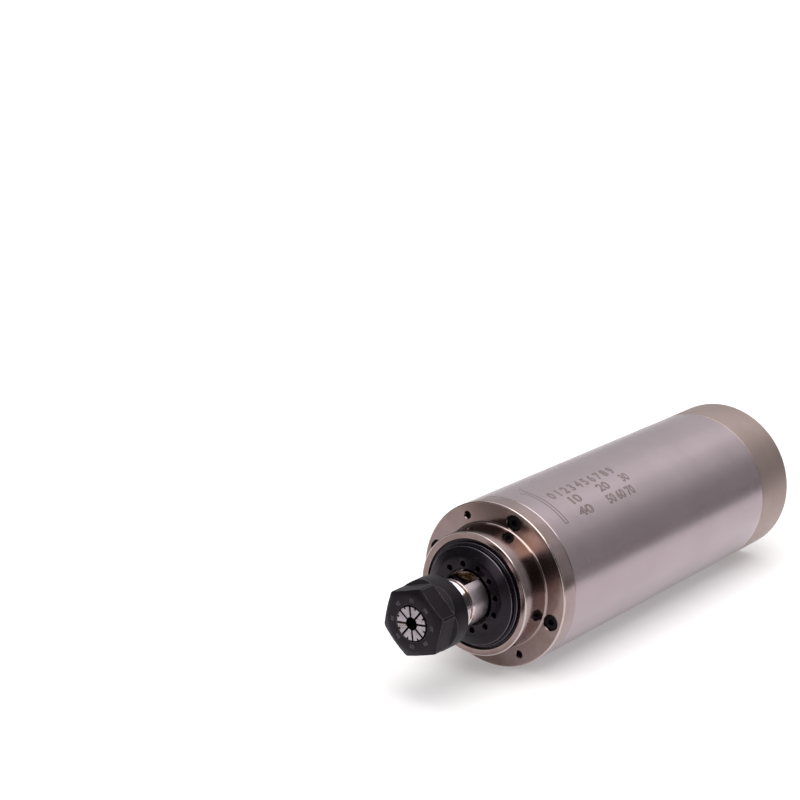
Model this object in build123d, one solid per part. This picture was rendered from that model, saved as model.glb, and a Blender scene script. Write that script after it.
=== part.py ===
from build123d import *
import os
from math import cos, pi, radians, sin, tan

# Water-cooled motor spindle for a milling machine, lying on its side.
# All sizes are in millimetres and degrees. The spindle axis is X and the tool end faces +X.
# The origin is on the axis, in the plane of the front flange's face.

# Body
body_length = 213.0  # flange face to rear face
body_diameter = 80.0
housing_wall = 2.5
flange_thickness = 9.0
rear_cap_length = 27.3
clock_angle = 26.0  # turns every fixed feature about the axis, as the spindle lies
seam_bevel = 0.4
flange_round = 0.9
rear_round = 1.6

# Gaps
fit_gap = 0.02  # between fixed pieces that locate each other
thread_gap = 0.05
running_gap = 0.3
taper_gap = 0.08

# Front boss and the threaded cover in its mouth
boss_wall = 3.4  # round the cover's thread
boss_length = 15.8
boss_bevel = 0.8
boss_fillet = 1.2
mouth_bevel = 0.5
cover_thread_diameter = 52.4
cover_thread_length = 5.4
cover_rim_diameter = 49.8
cover_shoulder_diameter = 47.2
cover_face_diameter = 38.8
cover_hole_diameter = 26.2
cover_rim_proud = 0.3
cover_shoulder_proud = 2.5
cover_face_proud = 4.5
cover_wall = 5.8
cover_cavity_diameter = 40.0
cover_hole_bevel = 0.5
cover_depth = 9.3  # boss face to the front bearing
spanner_hole_count = 12
spanner_hole_diameter = 2.8
spanner_hole_circle = 31.4
spanner_hole_depth = 3.2
spanner_hole_angle = 14.0

# Socket screws, four at the flange and four at the rear cap, and two jacking holes
screw_diameter = 4.0
screw_head_diameter = 7.0
screw_head_height = 4.0
screw_socket = 3.0
screw_socket_depth = 2.0
screw_inset = 5.9  # from the outside of the body to the screw
cap_screw_inset = 7.0
screw_hole_diameter = 4.5
screw_counterbore_diameter = 7.6
flange_counterbore_depth = 4.6
cap_counterbore_depth = 10.0
screw_count = 4
screw_angle = 45.0  # before the turn by clock_angle
tapped_depth = 10.0
screw_tip_room = 1.5
jack_hole_diameter = 3.4
jack_hole_inset = 5.5
jack_hole_count = 2
jack_hole_angle = 90.0

# Water jacket, with axial channels joined in turn at the front and the rear
jacket_wall = 8.0
channel_count = 8
channel_depth = 4.5
channel_rib = 7.0
channel_land = 14.0
crossover_width = 9.0
port_diameter = 4.0
port_inset = 7.0
seal_groove_width = 2.2
seal_groove_depth = 1.4
seal_inset = 4.0
seal_pitch = 4.5
seal_count = 2  # grooves at each end of the jacket

# Stator
lamination_bore_diameter = 34.0
slot_count = 24
slot_opening = 1.6
slot_lip = 0.8
slot_width = 3.0
core_yoke = 2.6  # iron left behind the slots
slot_liner = 0.15
slot_mouth_run = 1.0  # the mouth's cut starts this far inside the bore
end_winding_length = 18.0
end_winding_inset = 3.0  # from the jacket to the outside of the end winding
end_winding_round = 3.0
end_winding_round_share = 0.45  # the most that a round takes of the winding's height
winding_gap = 6.0
winding_bore_gap = 1.4

# Rotor
rotor_seat_diameter = 22.0
bar_count = 18
bar_diameter = 2.9
bar_circle = 29.0
end_ring_length = 6.0
end_ring_inset = 0.5
end_ring_wall = 4.2
balance_ring_length = 5.0
balance_ring_wall = 4.5

# Front bearings: a pair of angular contact ball bearings with a spacer between them
front_bore = 25.0
front_outer = 47.0
front_width = 12.0
front_ball = 6.35
front_balls = 13
spacer_length = 3.0
# Rear bearings: a close pair
rear_bore = 15.0
rear_outer = 32.0
rear_width = 9.0
rear_ball = 4.762
rear_balls = 11
race_gap = 0.06
cage_wall = 1.5
cage_side = 1.1
pocket_gap = 0.12
ring_land_share = 0.26  # how far a ring's land reaches over the ball, as a share of its size
ring_bevel = 0.5
housing_lip = 4.0
housing_lip_depth = 3.2
spring_room = 1.5
spring_thickness = 0.5

# Shaft
neck_diameter = 24.0
neck_exposed = 21.4  # cover face to the back of the collet nut
flat_across = 20.0
flat_end = 10.2  # cover face to the end of the wrench flats
flat_angle = 92.6
flat_length = 11.0
relief_diameter = 22.8
relief_start = 11.8
relief_width = 1.2
thread_collar_start = 13.6
nose_thread_diameter = 25.0
shoulder_diameter = 30.0
shoulder_length = 5.0
rear_journal_diameter = 19.0
rear_thread_diameter = 14.8
lock_nut_length = 7.0
lock_nut_diameter = 34.0
rear_nut_length = 6.0
rear_nut_diameter = 24.0
nut_slot_width = 4.0
nut_slot_depth = 2.0
nut_slot_count = 4
shaft_tail = 1.5
shaft_bevel = 0.6

# Collet and its nut
nut_length = 20.0
nut_diameter = 34.0
nut_across_flats = 30.0
nut_angle = 46.5
nut_flat_length = 9.7
nut_face_diameter = 26.8
nut_face_bevel = 1.2
nut_back_bevel = 0.7
nut_thread_room = 0.4  # the thread's run past the nose of the shaft
nut_cavity_diameter = 22.4
nut_lip_width = 1.5
nut_lip_offset = 0.6
collet_length = 31.5
collet_diameter = 21.0
collet_face_diameter = 16.0
collet_bore = 6.0
collet_taper = 8.0
collet_head_angle = 30.0
collet_head_land = 0.6
collet_groove_width = 2.1
collet_groove_depth = 1.3
collet_proud = 0.4
collet_slots = 8
collet_slot_width = 0.6
collet_back_slot_width = 0.4
collet_slot_bridge = 5.0
collet_notch = 0.9
collet_angle = 6.5
socket_tail = 18.0
socket_tail_diameter = 12.0
socket_run = 2.0  # how far the taper goes on behind the collet

# Rear cap, connector and hose fittings
cap_wall = 8.0
cap_lip = 4.0  # rim of the cap round the bracket
bracket_flange_thickness = 5.0
bracket_wall = 3.0
hub_wall = 4.0
web_thickness = 5.0
passage_diameter = 5.0
fitting_inset = 9.5
fitting_spread = 45.0  # angle between the two hose fittings
fitting_thread_diameter = 9.6
fitting_thread_length = 6.5
fitting_tap_room = 1.0
fitting_hex = 12.0
fitting_hex_length = 4.0
fitting_neck_diameter = 9.0
fitting_neck_length = 6.0
fitting_bore = 3.6
nipple_diameter = 5.2
nipple_length = 13.0
barb_diameter = 6.0
barb_pitch = 3.0
barb_count = 3
hose_nut_diameter = 13.0
hose_nut_length = 10.0
hose_nut_hole = 8.4
hose_nut_lip = 2.0
hose_nut_grooves = 20
hose_nut_groove_depth = 0.4
washer_thickness = 1.0

connector_circle = 30.0
connector_diameter = 16.0
connector_bore = 13.0
connector_reach = 9.5
connector_collar_diameter = 19.0
connector_collar_length = 2.5
connector_panel = 3.0
connector_nut = 19.0
connector_nut_length = 3.0
connector_tail = 4.0
connector_tail_wall = 1.0
insert_recess = 7.0
pin_count = 4
pin_diameter = 1.8
pin_circle = 6.6
pin_reach = 5.5
pin_tail = 3.0
pin_angle = 45.0
lead_diameter = 1.7
lead_pitch = 2.2
lead_slot_room = 1.0
lead_bend = 2.4

# Stations along the axis
flange_back = -flange_thickness
rear_face = -body_length
cap_front = rear_face + rear_cap_length
cover_face = boss_length + cover_face_proud
front_bearing_face = boss_length - cover_depth
front_bearing_back = front_bearing_face - 2 * front_width - spacer_length
spigot_end = front_bearing_back - housing_lip
rear_bearing_back = cap_front + seam_bevel
rear_bearing_face = rear_bearing_back + 2 * rear_width
bracket_front = rear_bearing_face + spring_room + housing_lip
core_front = spigot_end - winding_gap - end_winding_length
core_back = bracket_front + winding_gap + end_winding_length
nut_back = cover_face + neck_exposed
nut_front = nut_back + nut_length
collet_front = nut_front + collet_proud
collet_back = collet_front - collet_length
bracket_back = cap_front - bracket_flange_thickness
chamber_back = rear_face + cap_wall
shaft_end = rear_bearing_back - rear_nut_length - shaft_tail

# Radii that several pieces share
body_radius = body_diameter / 2
housing_bore = body_radius - housing_wall
jacket_outside = housing_bore - fit_gap
jacket_bore = housing_bore - jacket_wall
spigot_radius = jacket_bore - fit_gap
boss_radius = cover_thread_diameter / 2 + boss_wall
screw_reach = body_radius - screw_inset
cap_screw_reach = body_radius - cap_screw_inset
jack_hole_reach = body_radius - jack_hole_inset
port_reach = body_radius - port_inset
fitting_reach = body_radius - fitting_inset
bracket_bore = spigot_radius - bracket_wall
bracket_flange = body_radius - cap_lip
hub_radius = rear_outer / 2 + hub_wall
lead_reach = (hub_radius + bracket_bore) / 2
core_bore = lamination_bore_diameter / 2
rotor_radius = core_bore - running_gap
nose_radius = nose_thread_diameter / 2
neck_radius = neck_diameter / 2
head_cone = tan(radians(collet_head_angle))
body_cone = tan(radians(collet_taper))
collet_radius = collet_diameter / 2
collet_head_back = collet_front - (collet_radius - collet_face_diameter / 2) / head_cone
groove_front = collet_head_back - collet_head_land
groove_back = groove_front - collet_groove_width
groove_radius = collet_radius - collet_groove_depth
nose_end = groove_back - nut_lip_width


def turned(*outline):
    """A solid turned about the spindle axis, from the (x, radius) corners of its half section."""
    return revolve(make_face(Polyline(*outline, close=True)), Axis.X)


def tube(x_from, x_to, inner, outer):
    """A plain ring round the spindle axis."""
    return turned((x_from, inner), (x_to, inner), (x_to, outer), (x_from, outer))


def prism(outline, x_from, x_to):
    """A flat outline, drawn across the axis, drawn out along it."""
    return extrude(Plane.YZ.offset(x_from) * outline, x_to - x_from)


def polar(reach, angle):
    """The point across the axis at a reach and an angle."""
    return Pos(reach * cos(radians(angle)), reach * sin(radians(angle)))


def rods(radius, reach, angles, x_from, x_to):
    """Round bars along the axis, one at each angle. They serve as drills too."""
    return prism(Sketch() + [polar(reach, angle) * Circle(radius) for angle in angles], x_from, x_to)


def around(piece, count, start=0.0):
    """Copies of a piece, evenly turned about the spindle axis."""
    return [Rot(start + 360 * n / count, 0, 0) * piece for n in range(count)]


def spaced(count, start=0.0):
    """Evenly spaced angles."""
    return [start + 360 * n / count for n in range(count)]


def hexagon(across, x_from, x_to, angle=0.0):
    """A hexagonal bar on the spindle axis."""
    return prism(Rot(0, 0, angle) * RegularPolygon(across / 2, 6, major_radius=False), x_from, x_to)


def placed(piece, reach, angle):
    """Moves a piece made on the spindle axis out to its own place."""
    return Pos(0, reach * cos(radians(angle)), reach * sin(radians(angle))) * piece


def circles_at(piece, x, radius):
    """The circular edges of a piece at one station and radius."""
    circles = piece.edges().filter_by(GeomType.CIRCLE).filter_by_position(Axis.X, x - 0.01, x + 0.01)
    return [edge for edge in circles if abs(edge.radius - radius) < 0.01]


screw_angles = spaced(screw_count, screw_angle)
jack_angles = spaced(jack_hole_count, jack_hole_angle)
fitting_angles = [180 - fitting_spread / 2, 180 + fitting_spread / 2]
pin_angles = spaced(pin_count, pin_angle)


# ---------------------------------------------------------------- fixed outer pieces


def outer_housing():
    return turned(
        (cap_front, housing_bore),
        (flange_back, housing_bore),
        (flange_back, body_radius - seam_bevel),
        (flange_back - seam_bevel, body_radius),
        (cap_front + seam_bevel, body_radius),
        (cap_front, body_radius - seam_bevel),
    )


def front_bearing_housing():
    boss = boss_radius
    mouth = cover_thread_diameter / 2 + fit_gap
    bearing_seat = front_outer / 2 + fit_gap
    lip_bore = front_outer / 2 - housing_lip_depth
    body = turned(
        (spigot_end, lip_bore),
        (front_bearing_back, lip_bore),
        (front_bearing_back, bearing_seat),
        (front_bearing_face, bearing_seat),
        (front_bearing_face, mouth),
        (boss_length - mouth_bevel, mouth),
        (boss_length, mouth + mouth_bevel),
        (boss_length, boss - boss_bevel),
        (boss_length - boss_bevel, boss),
        (0, boss),
        (0, body_radius),
        (flange_back + seam_bevel, body_radius),
        (flange_back, body_radius - seam_bevel),
        (flange_back, spigot_radius),
        (spigot_end + seam_bevel, spigot_radius),
        (spigot_end, spigot_radius - seam_bevel),
    )
    body = fillet(circles_at(body, 0, body_radius), flange_round)
    body = fillet(circles_at(body, 0, boss), boss_fillet)
    counterbore = screw_counterbore_diameter / 2
    body -= rods(screw_hole_diameter / 2, screw_reach, screw_angles, flange_back, 0)
    body -= rods(counterbore, screw_reach, screw_angles, -flange_counterbore_depth, boss_fillet)
    body -= rods(jack_hole_diameter / 2, jack_hole_reach, jack_angles, flange_back, 0)
    groove_at = flange_back - seal_inset
    floor = spigot_radius - seal_groove_depth
    return body - tube(groove_at - seal_groove_width, groove_at, floor, body_radius)


def threaded_cover():
    rim = cover_rim_diameter / 2
    thread = cover_thread_diameter / 2
    hole = cover_hole_diameter / 2
    thread_end = front_bearing_face + cover_thread_length
    cover = turned(
        (front_bearing_face, cover_cavity_diameter / 2),
        (cover_face - cover_wall, cover_cavity_diameter / 2),
        (cover_face - cover_wall, hole),
        (cover_face - cover_hole_bevel, hole),
        (cover_face, hole + cover_hole_bevel),
        (cover_face, cover_face_diameter / 2),
        (boss_length + cover_shoulder_proud, cover_shoulder_diameter / 2),
        (boss_length + cover_rim_proud, rim),
        (thread_end, rim),
        (thread_end, thread),
        (front_bearing_face, thread),
    )
    drills = rods(
        spanner_hole_diameter / 2,
        spanner_hole_circle / 2,
        spaced(spanner_hole_count, spanner_hole_angle),
        cover_face - spanner_hole_depth,
        cover_face,
    )
    return cover - drills


def rear_cap():
    chamber = bracket_bore
    recess = bracket_flange + fit_gap
    cap = turned(
        (rear_face, 0),
        (chamber_back, 0),
        (chamber_back, chamber),
        (bracket_back, chamber),
        (bracket_back, recess),
        (cap_front, recess),
        (cap_front, body_radius - seam_bevel),
        (cap_front - seam_bevel, body_radius),
        (rear_face, body_radius),
    )
    cap = fillet(circles_at(cap, rear_face, body_radius), rear_round)
    seat = rear_face + cap_counterbore_depth
    cap -= rods(screw_hole_diameter / 2, cap_screw_reach, screw_angles, rear_face, bracket_back)
    cap -= rods(screw_counterbore_diameter / 2, cap_screw_reach, screw_angles, rear_face, seat)
    cap -= rods(passage_diameter / 2, fitting_reach, fitting_angles, rear_face, bracket_back)
    thread = fitting_thread_diameter / 2 + fit_gap
    tap_end = rear_face + fitting_thread_length + fitting_tap_room
    cap -= rods(thread, fitting_reach, fitting_angles, rear_face, tap_end)
    connector = connector_circle / 2
    cap -= rods(connector_diameter / 2 + fit_gap, connector, [0], rear_face, chamber_back)
    pocket = connector_collar_diameter / 2 + running_gap
    return cap - rods(pocket, connector, [0], rear_face + connector_panel, chamber_back)


def socket_screw(head_back, direction, length):
    """A socket head screw on the axis. Its head rests at head_back and faces along direction."""
    shank = turned((0, 0), (0, screw_diameter / 2), (-length, screw_diameter / 2), (-length, 0))
    top = screw_head_height
    head = turned(
        (0, 0),
        (0, screw_head_diameter / 2),
        (top - seam_bevel, screw_head_diameter / 2),
        (top, screw_head_diameter / 2 - seam_bevel),
        (top, 0),
    )
    screw = shank + head - hexagon(screw_socket, top - screw_socket_depth, top)
    if direction < 0:
        screw = Rot(0, 0, 180) * screw
    return Pos(head_back, 0, 0) * screw


def flange_screws():
    length = flange_thickness - flange_counterbore_depth + tapped_depth - screw_tip_room
    screw = socket_screw(-flange_counterbore_depth, 1, length)
    return [placed(screw, screw_reach, angle) for angle in screw_angles]


def rear_cap_screws():
    head_back = rear_face + cap_counterbore_depth
    length = cap_front - head_back + tapped_depth - screw_tip_room
    screw = socket_screw(head_back, -1, length)
    return [placed(screw, cap_screw_reach, angle) for angle in screw_angles]


# ---------------------------------------------------------------- cooling, stator and brackets


def seal_stations():
    """Where the jacket's seal grooves start, two at each end."""
    first = flange_back - seal_inset - seal_groove_width
    front = [first - n * seal_pitch for n in range(seal_count)]
    rear = [cap_front + seal_inset + n * seal_pitch for n in range(seal_count)]
    return front + rear


def water_jacket():
    jacket = tube(cap_front, flange_back, jacket_bore, jacket_outside)
    front = flange_back - channel_land
    rear = cap_front + channel_land
    floor = jacket_outside - channel_depth
    channels = tube(rear, front, floor, body_radius)
    for n in range(channel_count):
        rib_front = front - crossover_width if n % 2 == 1 else front
        rib_rear = rear + crossover_width if n % 2 == 0 and n > 0 else rear
        middle = (rib_front + rib_rear) / 2
        rib = Pos(middle, body_radius, 0) * Box(rib_front - rib_rear, 2 * channel_rib, channel_rib)
        channels -= Rot(180 + 360 * n / channel_count, 0, 0) * rib
    jacket -= channels
    for start in seal_stations():
        jacket -= tube(start, start + seal_groove_width, jacket_outside - seal_groove_depth, body_radius)
    tap = screw_diameter / 2 + fit_gap
    jacket -= rods(tap, screw_reach, screw_angles, flange_back - tapped_depth, flange_back)
    jacket -= rods(tap, cap_screw_reach, screw_angles, cap_front, cap_front + tapped_depth)
    return jacket - rods(port_diameter / 2, port_reach, fitting_angles, cap_front, rear + port_diameter)


def o_ring(groove_start, floor, top):
    """A round-section seal lying in a groove on the axis."""
    section = (top - floor - 2 * fit_gap) / 2
    middle = Pos(groove_start + seal_groove_width / 2, (floor + top) / 2)
    return revolve(middle * Circle(section), Axis.X)


def jacket_seals():
    return [o_ring(start, jacket_outside - seal_groove_depth, housing_bore) for start in seal_stations()]


def spigot_seals():
    floor = spigot_radius - seal_groove_depth
    starts = [flange_back - seal_inset - seal_groove_width, cap_front + seal_inset]
    return [o_ring(start, floor, jacket_bore) for start in starts]


def slot_outline(shrink):
    """One stator slot: a narrow mouth at the bore that opens into a tapered pocket with a round end."""
    mouth = slot_opening / 2 - shrink
    throat = core_bore + slot_lip + shrink
    half = slot_width / 2 - shrink
    share = pi / slot_count / 2
    bottom = (spigot_radius - core_yoke - shrink - half + core_bore * share) / (1 + share)
    wide = half + (bottom - core_bore) * share
    inner = core_bore - slot_mouth_run
    rim = [
        Line((throat, -half), (bottom, -wide)),
        ThreePointArc((bottom, -wide), (bottom + wide, 0), (bottom, wide)),
        Line((bottom, wide), (throat, half)),
        Line((throat, half), (throat, -half)),
    ]
    pocket = make_face(Curve() + rim)
    if shrink > 0:
        return pocket
    return pocket + make_face(
        Polyline((inner, -mouth), (throat, -mouth), (throat, mouth), (inner, mouth), close=True)
    )


def stator_core():
    ring = Circle(spigot_radius) - Circle(core_bore)
    slot = slot_outline(0)
    for angle in spaced(slot_count):
        ring -= Rot(0, 0, angle) * slot
    return prism(ring, core_back, core_front)


def stator_winding():
    inner = core_bore + winding_bore_gap
    outer = spigot_radius - end_winding_inset
    corner = min(end_winding_round, (outer - inner) * end_winding_round_share)
    slot = slot_outline(slot_liner)
    filled = Sketch() + [Rot(0, 0, angle) * slot for angle in spaced(slot_count)]
    coils = prism(filled, core_back, core_front)
    for x_from in (core_front, core_back - end_winding_length):
        middle = Pos(x_from + end_winding_length / 2, (inner + outer) / 2)
        section = middle * RectangleRounded(end_winding_length, outer - inner, corner)
        coils += revolve(section, Axis.X)
    return coils


def rear_bearing_bracket():
    seat = rear_outer / 2 + fit_gap
    lip_bore = rear_outer / 2 - housing_lip_depth
    pocket_front = bracket_front - web_thickness - spring_room
    bracket = turned(
        (bracket_back, seat),
        (rear_bearing_face + spring_room, seat),
        (rear_bearing_face + spring_room, lip_bore),
        (bracket_front, lip_bore),
        (bracket_front, spigot_radius - seam_bevel),
        (bracket_front - seam_bevel, spigot_radius),
        (cap_front, spigot_radius),
        (cap_front, bracket_flange),
        (bracket_back, bracket_flange),
        (bracket_back, bracket_bore),
        (pocket_front, bracket_bore),
        (pocket_front, hub_radius),
        (bracket_back, hub_radius),
    )
    slot_across = lead_diameter + 2 * lead_slot_room
    lead_slot = SlotCenterToCenter((pin_count - 1) * lead_pitch, slot_across, rotation=90)
    bracket -= prism(Pos(lead_reach, 0) * lead_slot, pocket_front, bracket_front)
    bracket -= rods(screw_hole_diameter / 2, cap_screw_reach, screw_angles, bracket_back, cap_front)
    for angle in fitting_angles:
        middle = Pos((fitting_reach + port_reach) / 2, 0)
        slot = Rot(0, 0, angle) * middle * SlotCenterToCenter(port_reach - fitting_reach, port_diameter)
        bracket -= prism(slot, bracket_back, cap_front)
    floor = spigot_radius - seal_groove_depth
    groove_at = cap_front + seal_inset
    return bracket - tube(groove_at, groove_at + seal_groove_width, floor, body_radius)


def preload_spring():
    inner = rear_outer / 2 - housing_lip_depth + running_gap
    outer = rear_outer / 2 - running_gap
    start = rear_bearing_face + fit_gap
    rise = spring_room - spring_thickness - 2 * fit_gap
    return turned(
        (start, outer),
        (start + spring_thickness, outer),
        (start + rise + spring_thickness, inner),
        (start + rise, inner),
    )


# ---------------------------------------------------------------- bearings


class BallBearing:
    """An angular contact bearing. facing is the side, +1 or -1, where the outer ring is relieved."""

    def __init__(self, bore, outer, width, ball, count):
        self.inner, self.outer, self.width = bore / 2, outer / 2, width
        self.ball, self.count = ball / 2, count
        self.pitch = (self.inner + self.outer) / 2
        self.land = self.ball * (1 - 2 * ring_land_share)

    def track(self, x):
        return Pos(x, 0, 0) * Rot(0, 90, 0) * Torus(self.pitch, self.ball + race_gap)

    def outer_ring(self, x, facing):
        half = self.width / 2
        relieved = self.pitch + self.ball
        ring = turned(
            (x - facing * half, self.pitch + self.land),
            (x, self.pitch + self.land),
            (x + facing * half, relieved),
            (x + facing * half, self.outer - ring_bevel),
            (x + facing * (half - ring_bevel), self.outer),
            (x - facing * (half - ring_bevel), self.outer),
            (x - facing * half, self.outer - ring_bevel),
        )
        return ring - self.track(x)

    def inner_ring(self, x):
        half = self.width / 2
        inner = self.inner + fit_gap
        ring = turned(
            (x - half, inner + ring_bevel),
            (x - half + ring_bevel, inner),
            (x + half - ring_bevel, inner),
            (x + half, inner + ring_bevel),
            (x + half, self.pitch - self.land),
            (x - half, self.pitch - self.land),
        )
        return ring - self.track(x)

    def balls(self, x):
        return around(Pos(x, self.pitch, 0) * Sphere(self.ball), self.count)

    def cage(self, x):
        half = self.ball + cage_side
        band = tube(x - half, x + half, self.pitch - cage_wall / 2, self.pitch + cage_wall / 2)
        pocket = Pos(x, self.pitch, 0) * Rot(90, 0, 0) * Cylinder(self.ball + pocket_gap, 2 * self.ball)
        for cutter in around(pocket, self.count):
            band -= cutter
        return band


front_bearing = BallBearing(front_bore, front_outer, front_width, front_ball, front_balls)
rear_bearing = BallBearing(rear_bore, rear_outer, rear_width, rear_ball, rear_balls)
front_middles = [front_bearing_face - front_width / 2, front_bearing_back + front_width / 2]
rear_middles = [rear_bearing_face - rear_width / 2, rear_bearing_back + rear_width / 2]


def outer_rings(bearing, middles):
    return [bearing.outer_ring(x, facing) for x, facing in zip(middles, (1, -1))]


def inner_rings(bearing, middles):
    return [bearing.inner_ring(x) for x in middles]


def ball_sets(bearing, middles):
    return [ball for x in middles for ball in bearing.balls(x)]


def cages(bearing, middles):
    return [bearing.cage(x) for x in middles]


def outer_spacer():
    back = front_middles[1] + front_width / 2
    inner = front_bearing.pitch + front_bearing.land
    return tube(back, back + spacer_length, inner, front_outer / 2)


def inner_spacer():
    back = front_middles[1] + front_width / 2
    outer = front_bearing.pitch - front_bearing.land
    return tube(back, back + spacer_length, front_bore / 2 + fit_gap, outer)


# ---------------------------------------------------------------- turning pieces


def slotted_ring(x_from, x_to, inner, outer):
    """A lock nut with slots in its rim."""
    ring = tube(x_from, x_to, inner, outer)
    slot = Pos((x_from + x_to) / 2, outer, 0) * Box(x_to - x_from, 2 * nut_slot_depth, nut_slot_width)
    for cutter in around(slot, nut_slot_count):
        ring -= cutter
    return ring


def shaft():
    seat = front_bore / 2
    core = rotor_seat_diameter / 2
    journal = rear_bore / 2
    thread = rear_thread_diameter / 2
    shoulder_back = front_bearing_back - shoulder_length
    core_end = core_back - end_ring_length - balance_ring_length
    relief = relief_diameter / 2
    relief_at = cover_face + relief_start
    collar_at = cover_face + thread_collar_start
    socket_radius = collet_radius + taper_gap
    mouth = socket_radius - (groove_back - nose_end) * body_cone
    depth = collet_back - socket_run
    socket_end = socket_radius - (groove_back - depth) * body_cone
    tail = socket_tail_diameter / 2
    body = turned(
        (shaft_end, 0),
        (shaft_end, thread - shaft_bevel),
        (shaft_end + shaft_bevel, thread),
        (rear_bearing_back, thread),
        (rear_bearing_back, journal),
        (rear_bearing_face, journal),
        (rear_bearing_face, rear_journal_diameter / 2),
        (core_end, rear_journal_diameter / 2),
        (core_end, core),
        (shoulder_back, core),
        (shoulder_back, shoulder_diameter / 2),
        (front_bearing_back, shoulder_diameter / 2),
        (front_bearing_back, seat),
        (front_bearing_face, seat),
        (front_bearing_face, neck_radius),
        (relief_at, neck_radius),
        (relief_at, relief),
        (relief_at + relief_width, relief),
        (relief_at + relief_width, neck_radius),
        (collar_at, neck_radius),
        (collar_at + shaft_bevel, nose_radius),
        (nose_end - shaft_bevel, nose_radius),
        (nose_end, nose_radius - shaft_bevel),
        (nose_end, mouth),
        (depth, socket_end),
        (depth, tail),
        (depth - socket_tail, tail),
        (depth - socket_tail - tail, 0),
    )
    flat_from = cover_face + flat_end - flat_length
    half = flat_across / 2
    side = Box(flat_length, neck_diameter, neck_diameter)
    side = Pos(flat_from + flat_length / 2, half + neck_radius, 0) * side
    for cutter in around(side, 2, flat_angle):
        body -= cutter
    return body


def front_lock_nut():
    end = front_bearing_face + lock_nut_length
    return slotted_ring(front_bearing_face, end, neck_radius + thread_gap, lock_nut_diameter / 2)


def rear_lock_nut():
    return slotted_ring(
        rear_bearing_back - rear_nut_length,
        rear_bearing_back,
        rear_thread_diameter / 2 + thread_gap,
        rear_nut_diameter / 2,
    )


def rotor_core():
    ring = Circle(rotor_radius) - Circle(rotor_seat_diameter / 2 + fit_gap)
    bar_seat = Circle(bar_diameter / 2 + fit_gap)
    for angle in spaced(bar_count):
        ring -= polar(bar_circle / 2, angle) * bar_seat
    return prism(ring, core_back, core_front)


def rotor_cage():
    outer = rotor_radius - end_ring_inset
    inner = outer - end_ring_wall
    cage = rods(bar_diameter / 2, bar_circle / 2, spaced(bar_count), core_back, core_front)
    cage += tube(core_front, core_front + end_ring_length, inner, outer)
    cage += tube(core_back - end_ring_length, core_back, inner, outer)
    return cage


def balance_rings():
    inner = rotor_seat_diameter / 2 + fit_gap
    outer = inner + balance_ring_wall
    front = core_front + end_ring_length
    rear = core_back - end_ring_length
    return [
        tube(front, front + balance_ring_length, inner, outer),
        tube(rear - balance_ring_length, rear, inner, outer),
    ]


def collet():
    radius = collet_radius
    bore = collet_bore / 2
    face = collet_face_diameter / 2
    tail = radius - (groove_back - collet_back) * body_cone
    body = turned(
        (collet_back, bore),
        (collet_front, bore),
        (collet_front, face),
        (collet_head_back, radius),
        (groove_front, radius),
        (groove_front, groove_radius),
        (groove_back, groove_radius),
        (groove_back, radius),
        (collet_back + seam_bevel, tail + seam_bevel * body_cone),
        (collet_back, tail - seam_bevel),
    )
    front_from = collet_back + collet_slot_bridge
    front_slot = Pos((front_from + collet_front) / 2, radius, 0) * Box(
        collet_front - front_from, 2 * radius, collet_slot_width
    )
    for cutter in around(front_slot, collet_slots, collet_angle):
        body -= cutter
    back_to = collet_front - collet_slot_bridge
    back_slot = Pos((collet_back + back_to) / 2, radius, 0) * Box(
        back_to - collet_back, 2 * radius, collet_back_slot_width
    )
    notch_depth = face - collet_notch
    notch = Pos(collet_front - collet_slot_bridge, notch_depth + radius, 0) * Box(
        2 * collet_slot_bridge, 2 * radius, collet_back_slot_width
    )
    for cutter in around(back_slot + notch, collet_slots, collet_angle + 180 / collet_slots):
        body -= cutter
    return body


def collet_nut():
    radius = nut_diameter / 2
    thread = nose_radius + thread_gap
    cavity = nut_cavity_diameter / 2
    lip_back = groove_back + (collet_groove_width - nut_lip_width) / 2
    lip_front = lip_back + nut_lip_width
    seat_back = collet_radius + taper_gap
    mouth = collet_face_diameter / 2 + taper_gap + collet_proud * head_cone
    body = turned(
        (nut_back, thread + nut_back_bevel),
        (nut_back + nut_back_bevel, thread),
        (nose_end + nut_thread_room, thread),
        (lip_back, cavity),
        (lip_back, groove_radius),
        (lip_front, groove_radius),
        (lip_front, seat_back),
        (collet_head_back, seat_back),
        (nut_front, mouth),
        (nut_front, nut_face_diameter / 2),
        (nut_front - nut_face_bevel, radius),
        (nut_back + nut_back_bevel, radius),
        (nut_back, radius - nut_back_bevel),
    )
    lip_bore = groove_radius + taper_gap + nut_lip_offset
    body -= prism(Pos(nut_lip_offset, 0) * Circle(lip_bore), lip_back, lip_front)
    flat = nut_across_flats / 2
    flat_back = nut_front - nut_flat_length
    runout = radius - flat
    section = Plane.XY * make_face(
        Polyline(
            (flat_back, flat),
            (nut_front, flat),
            (nut_front, radius + runout),
            (flat_back - 2 * runout, radius + runout),
            close=True,
        )
    )
    side = extrude(section, nut_diameter / 2, both=True)
    for cutter in around(side, 6, nut_angle):
        body -= cutter
    return body


# ---------------------------------------------------------------- hose fittings and connector


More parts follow.
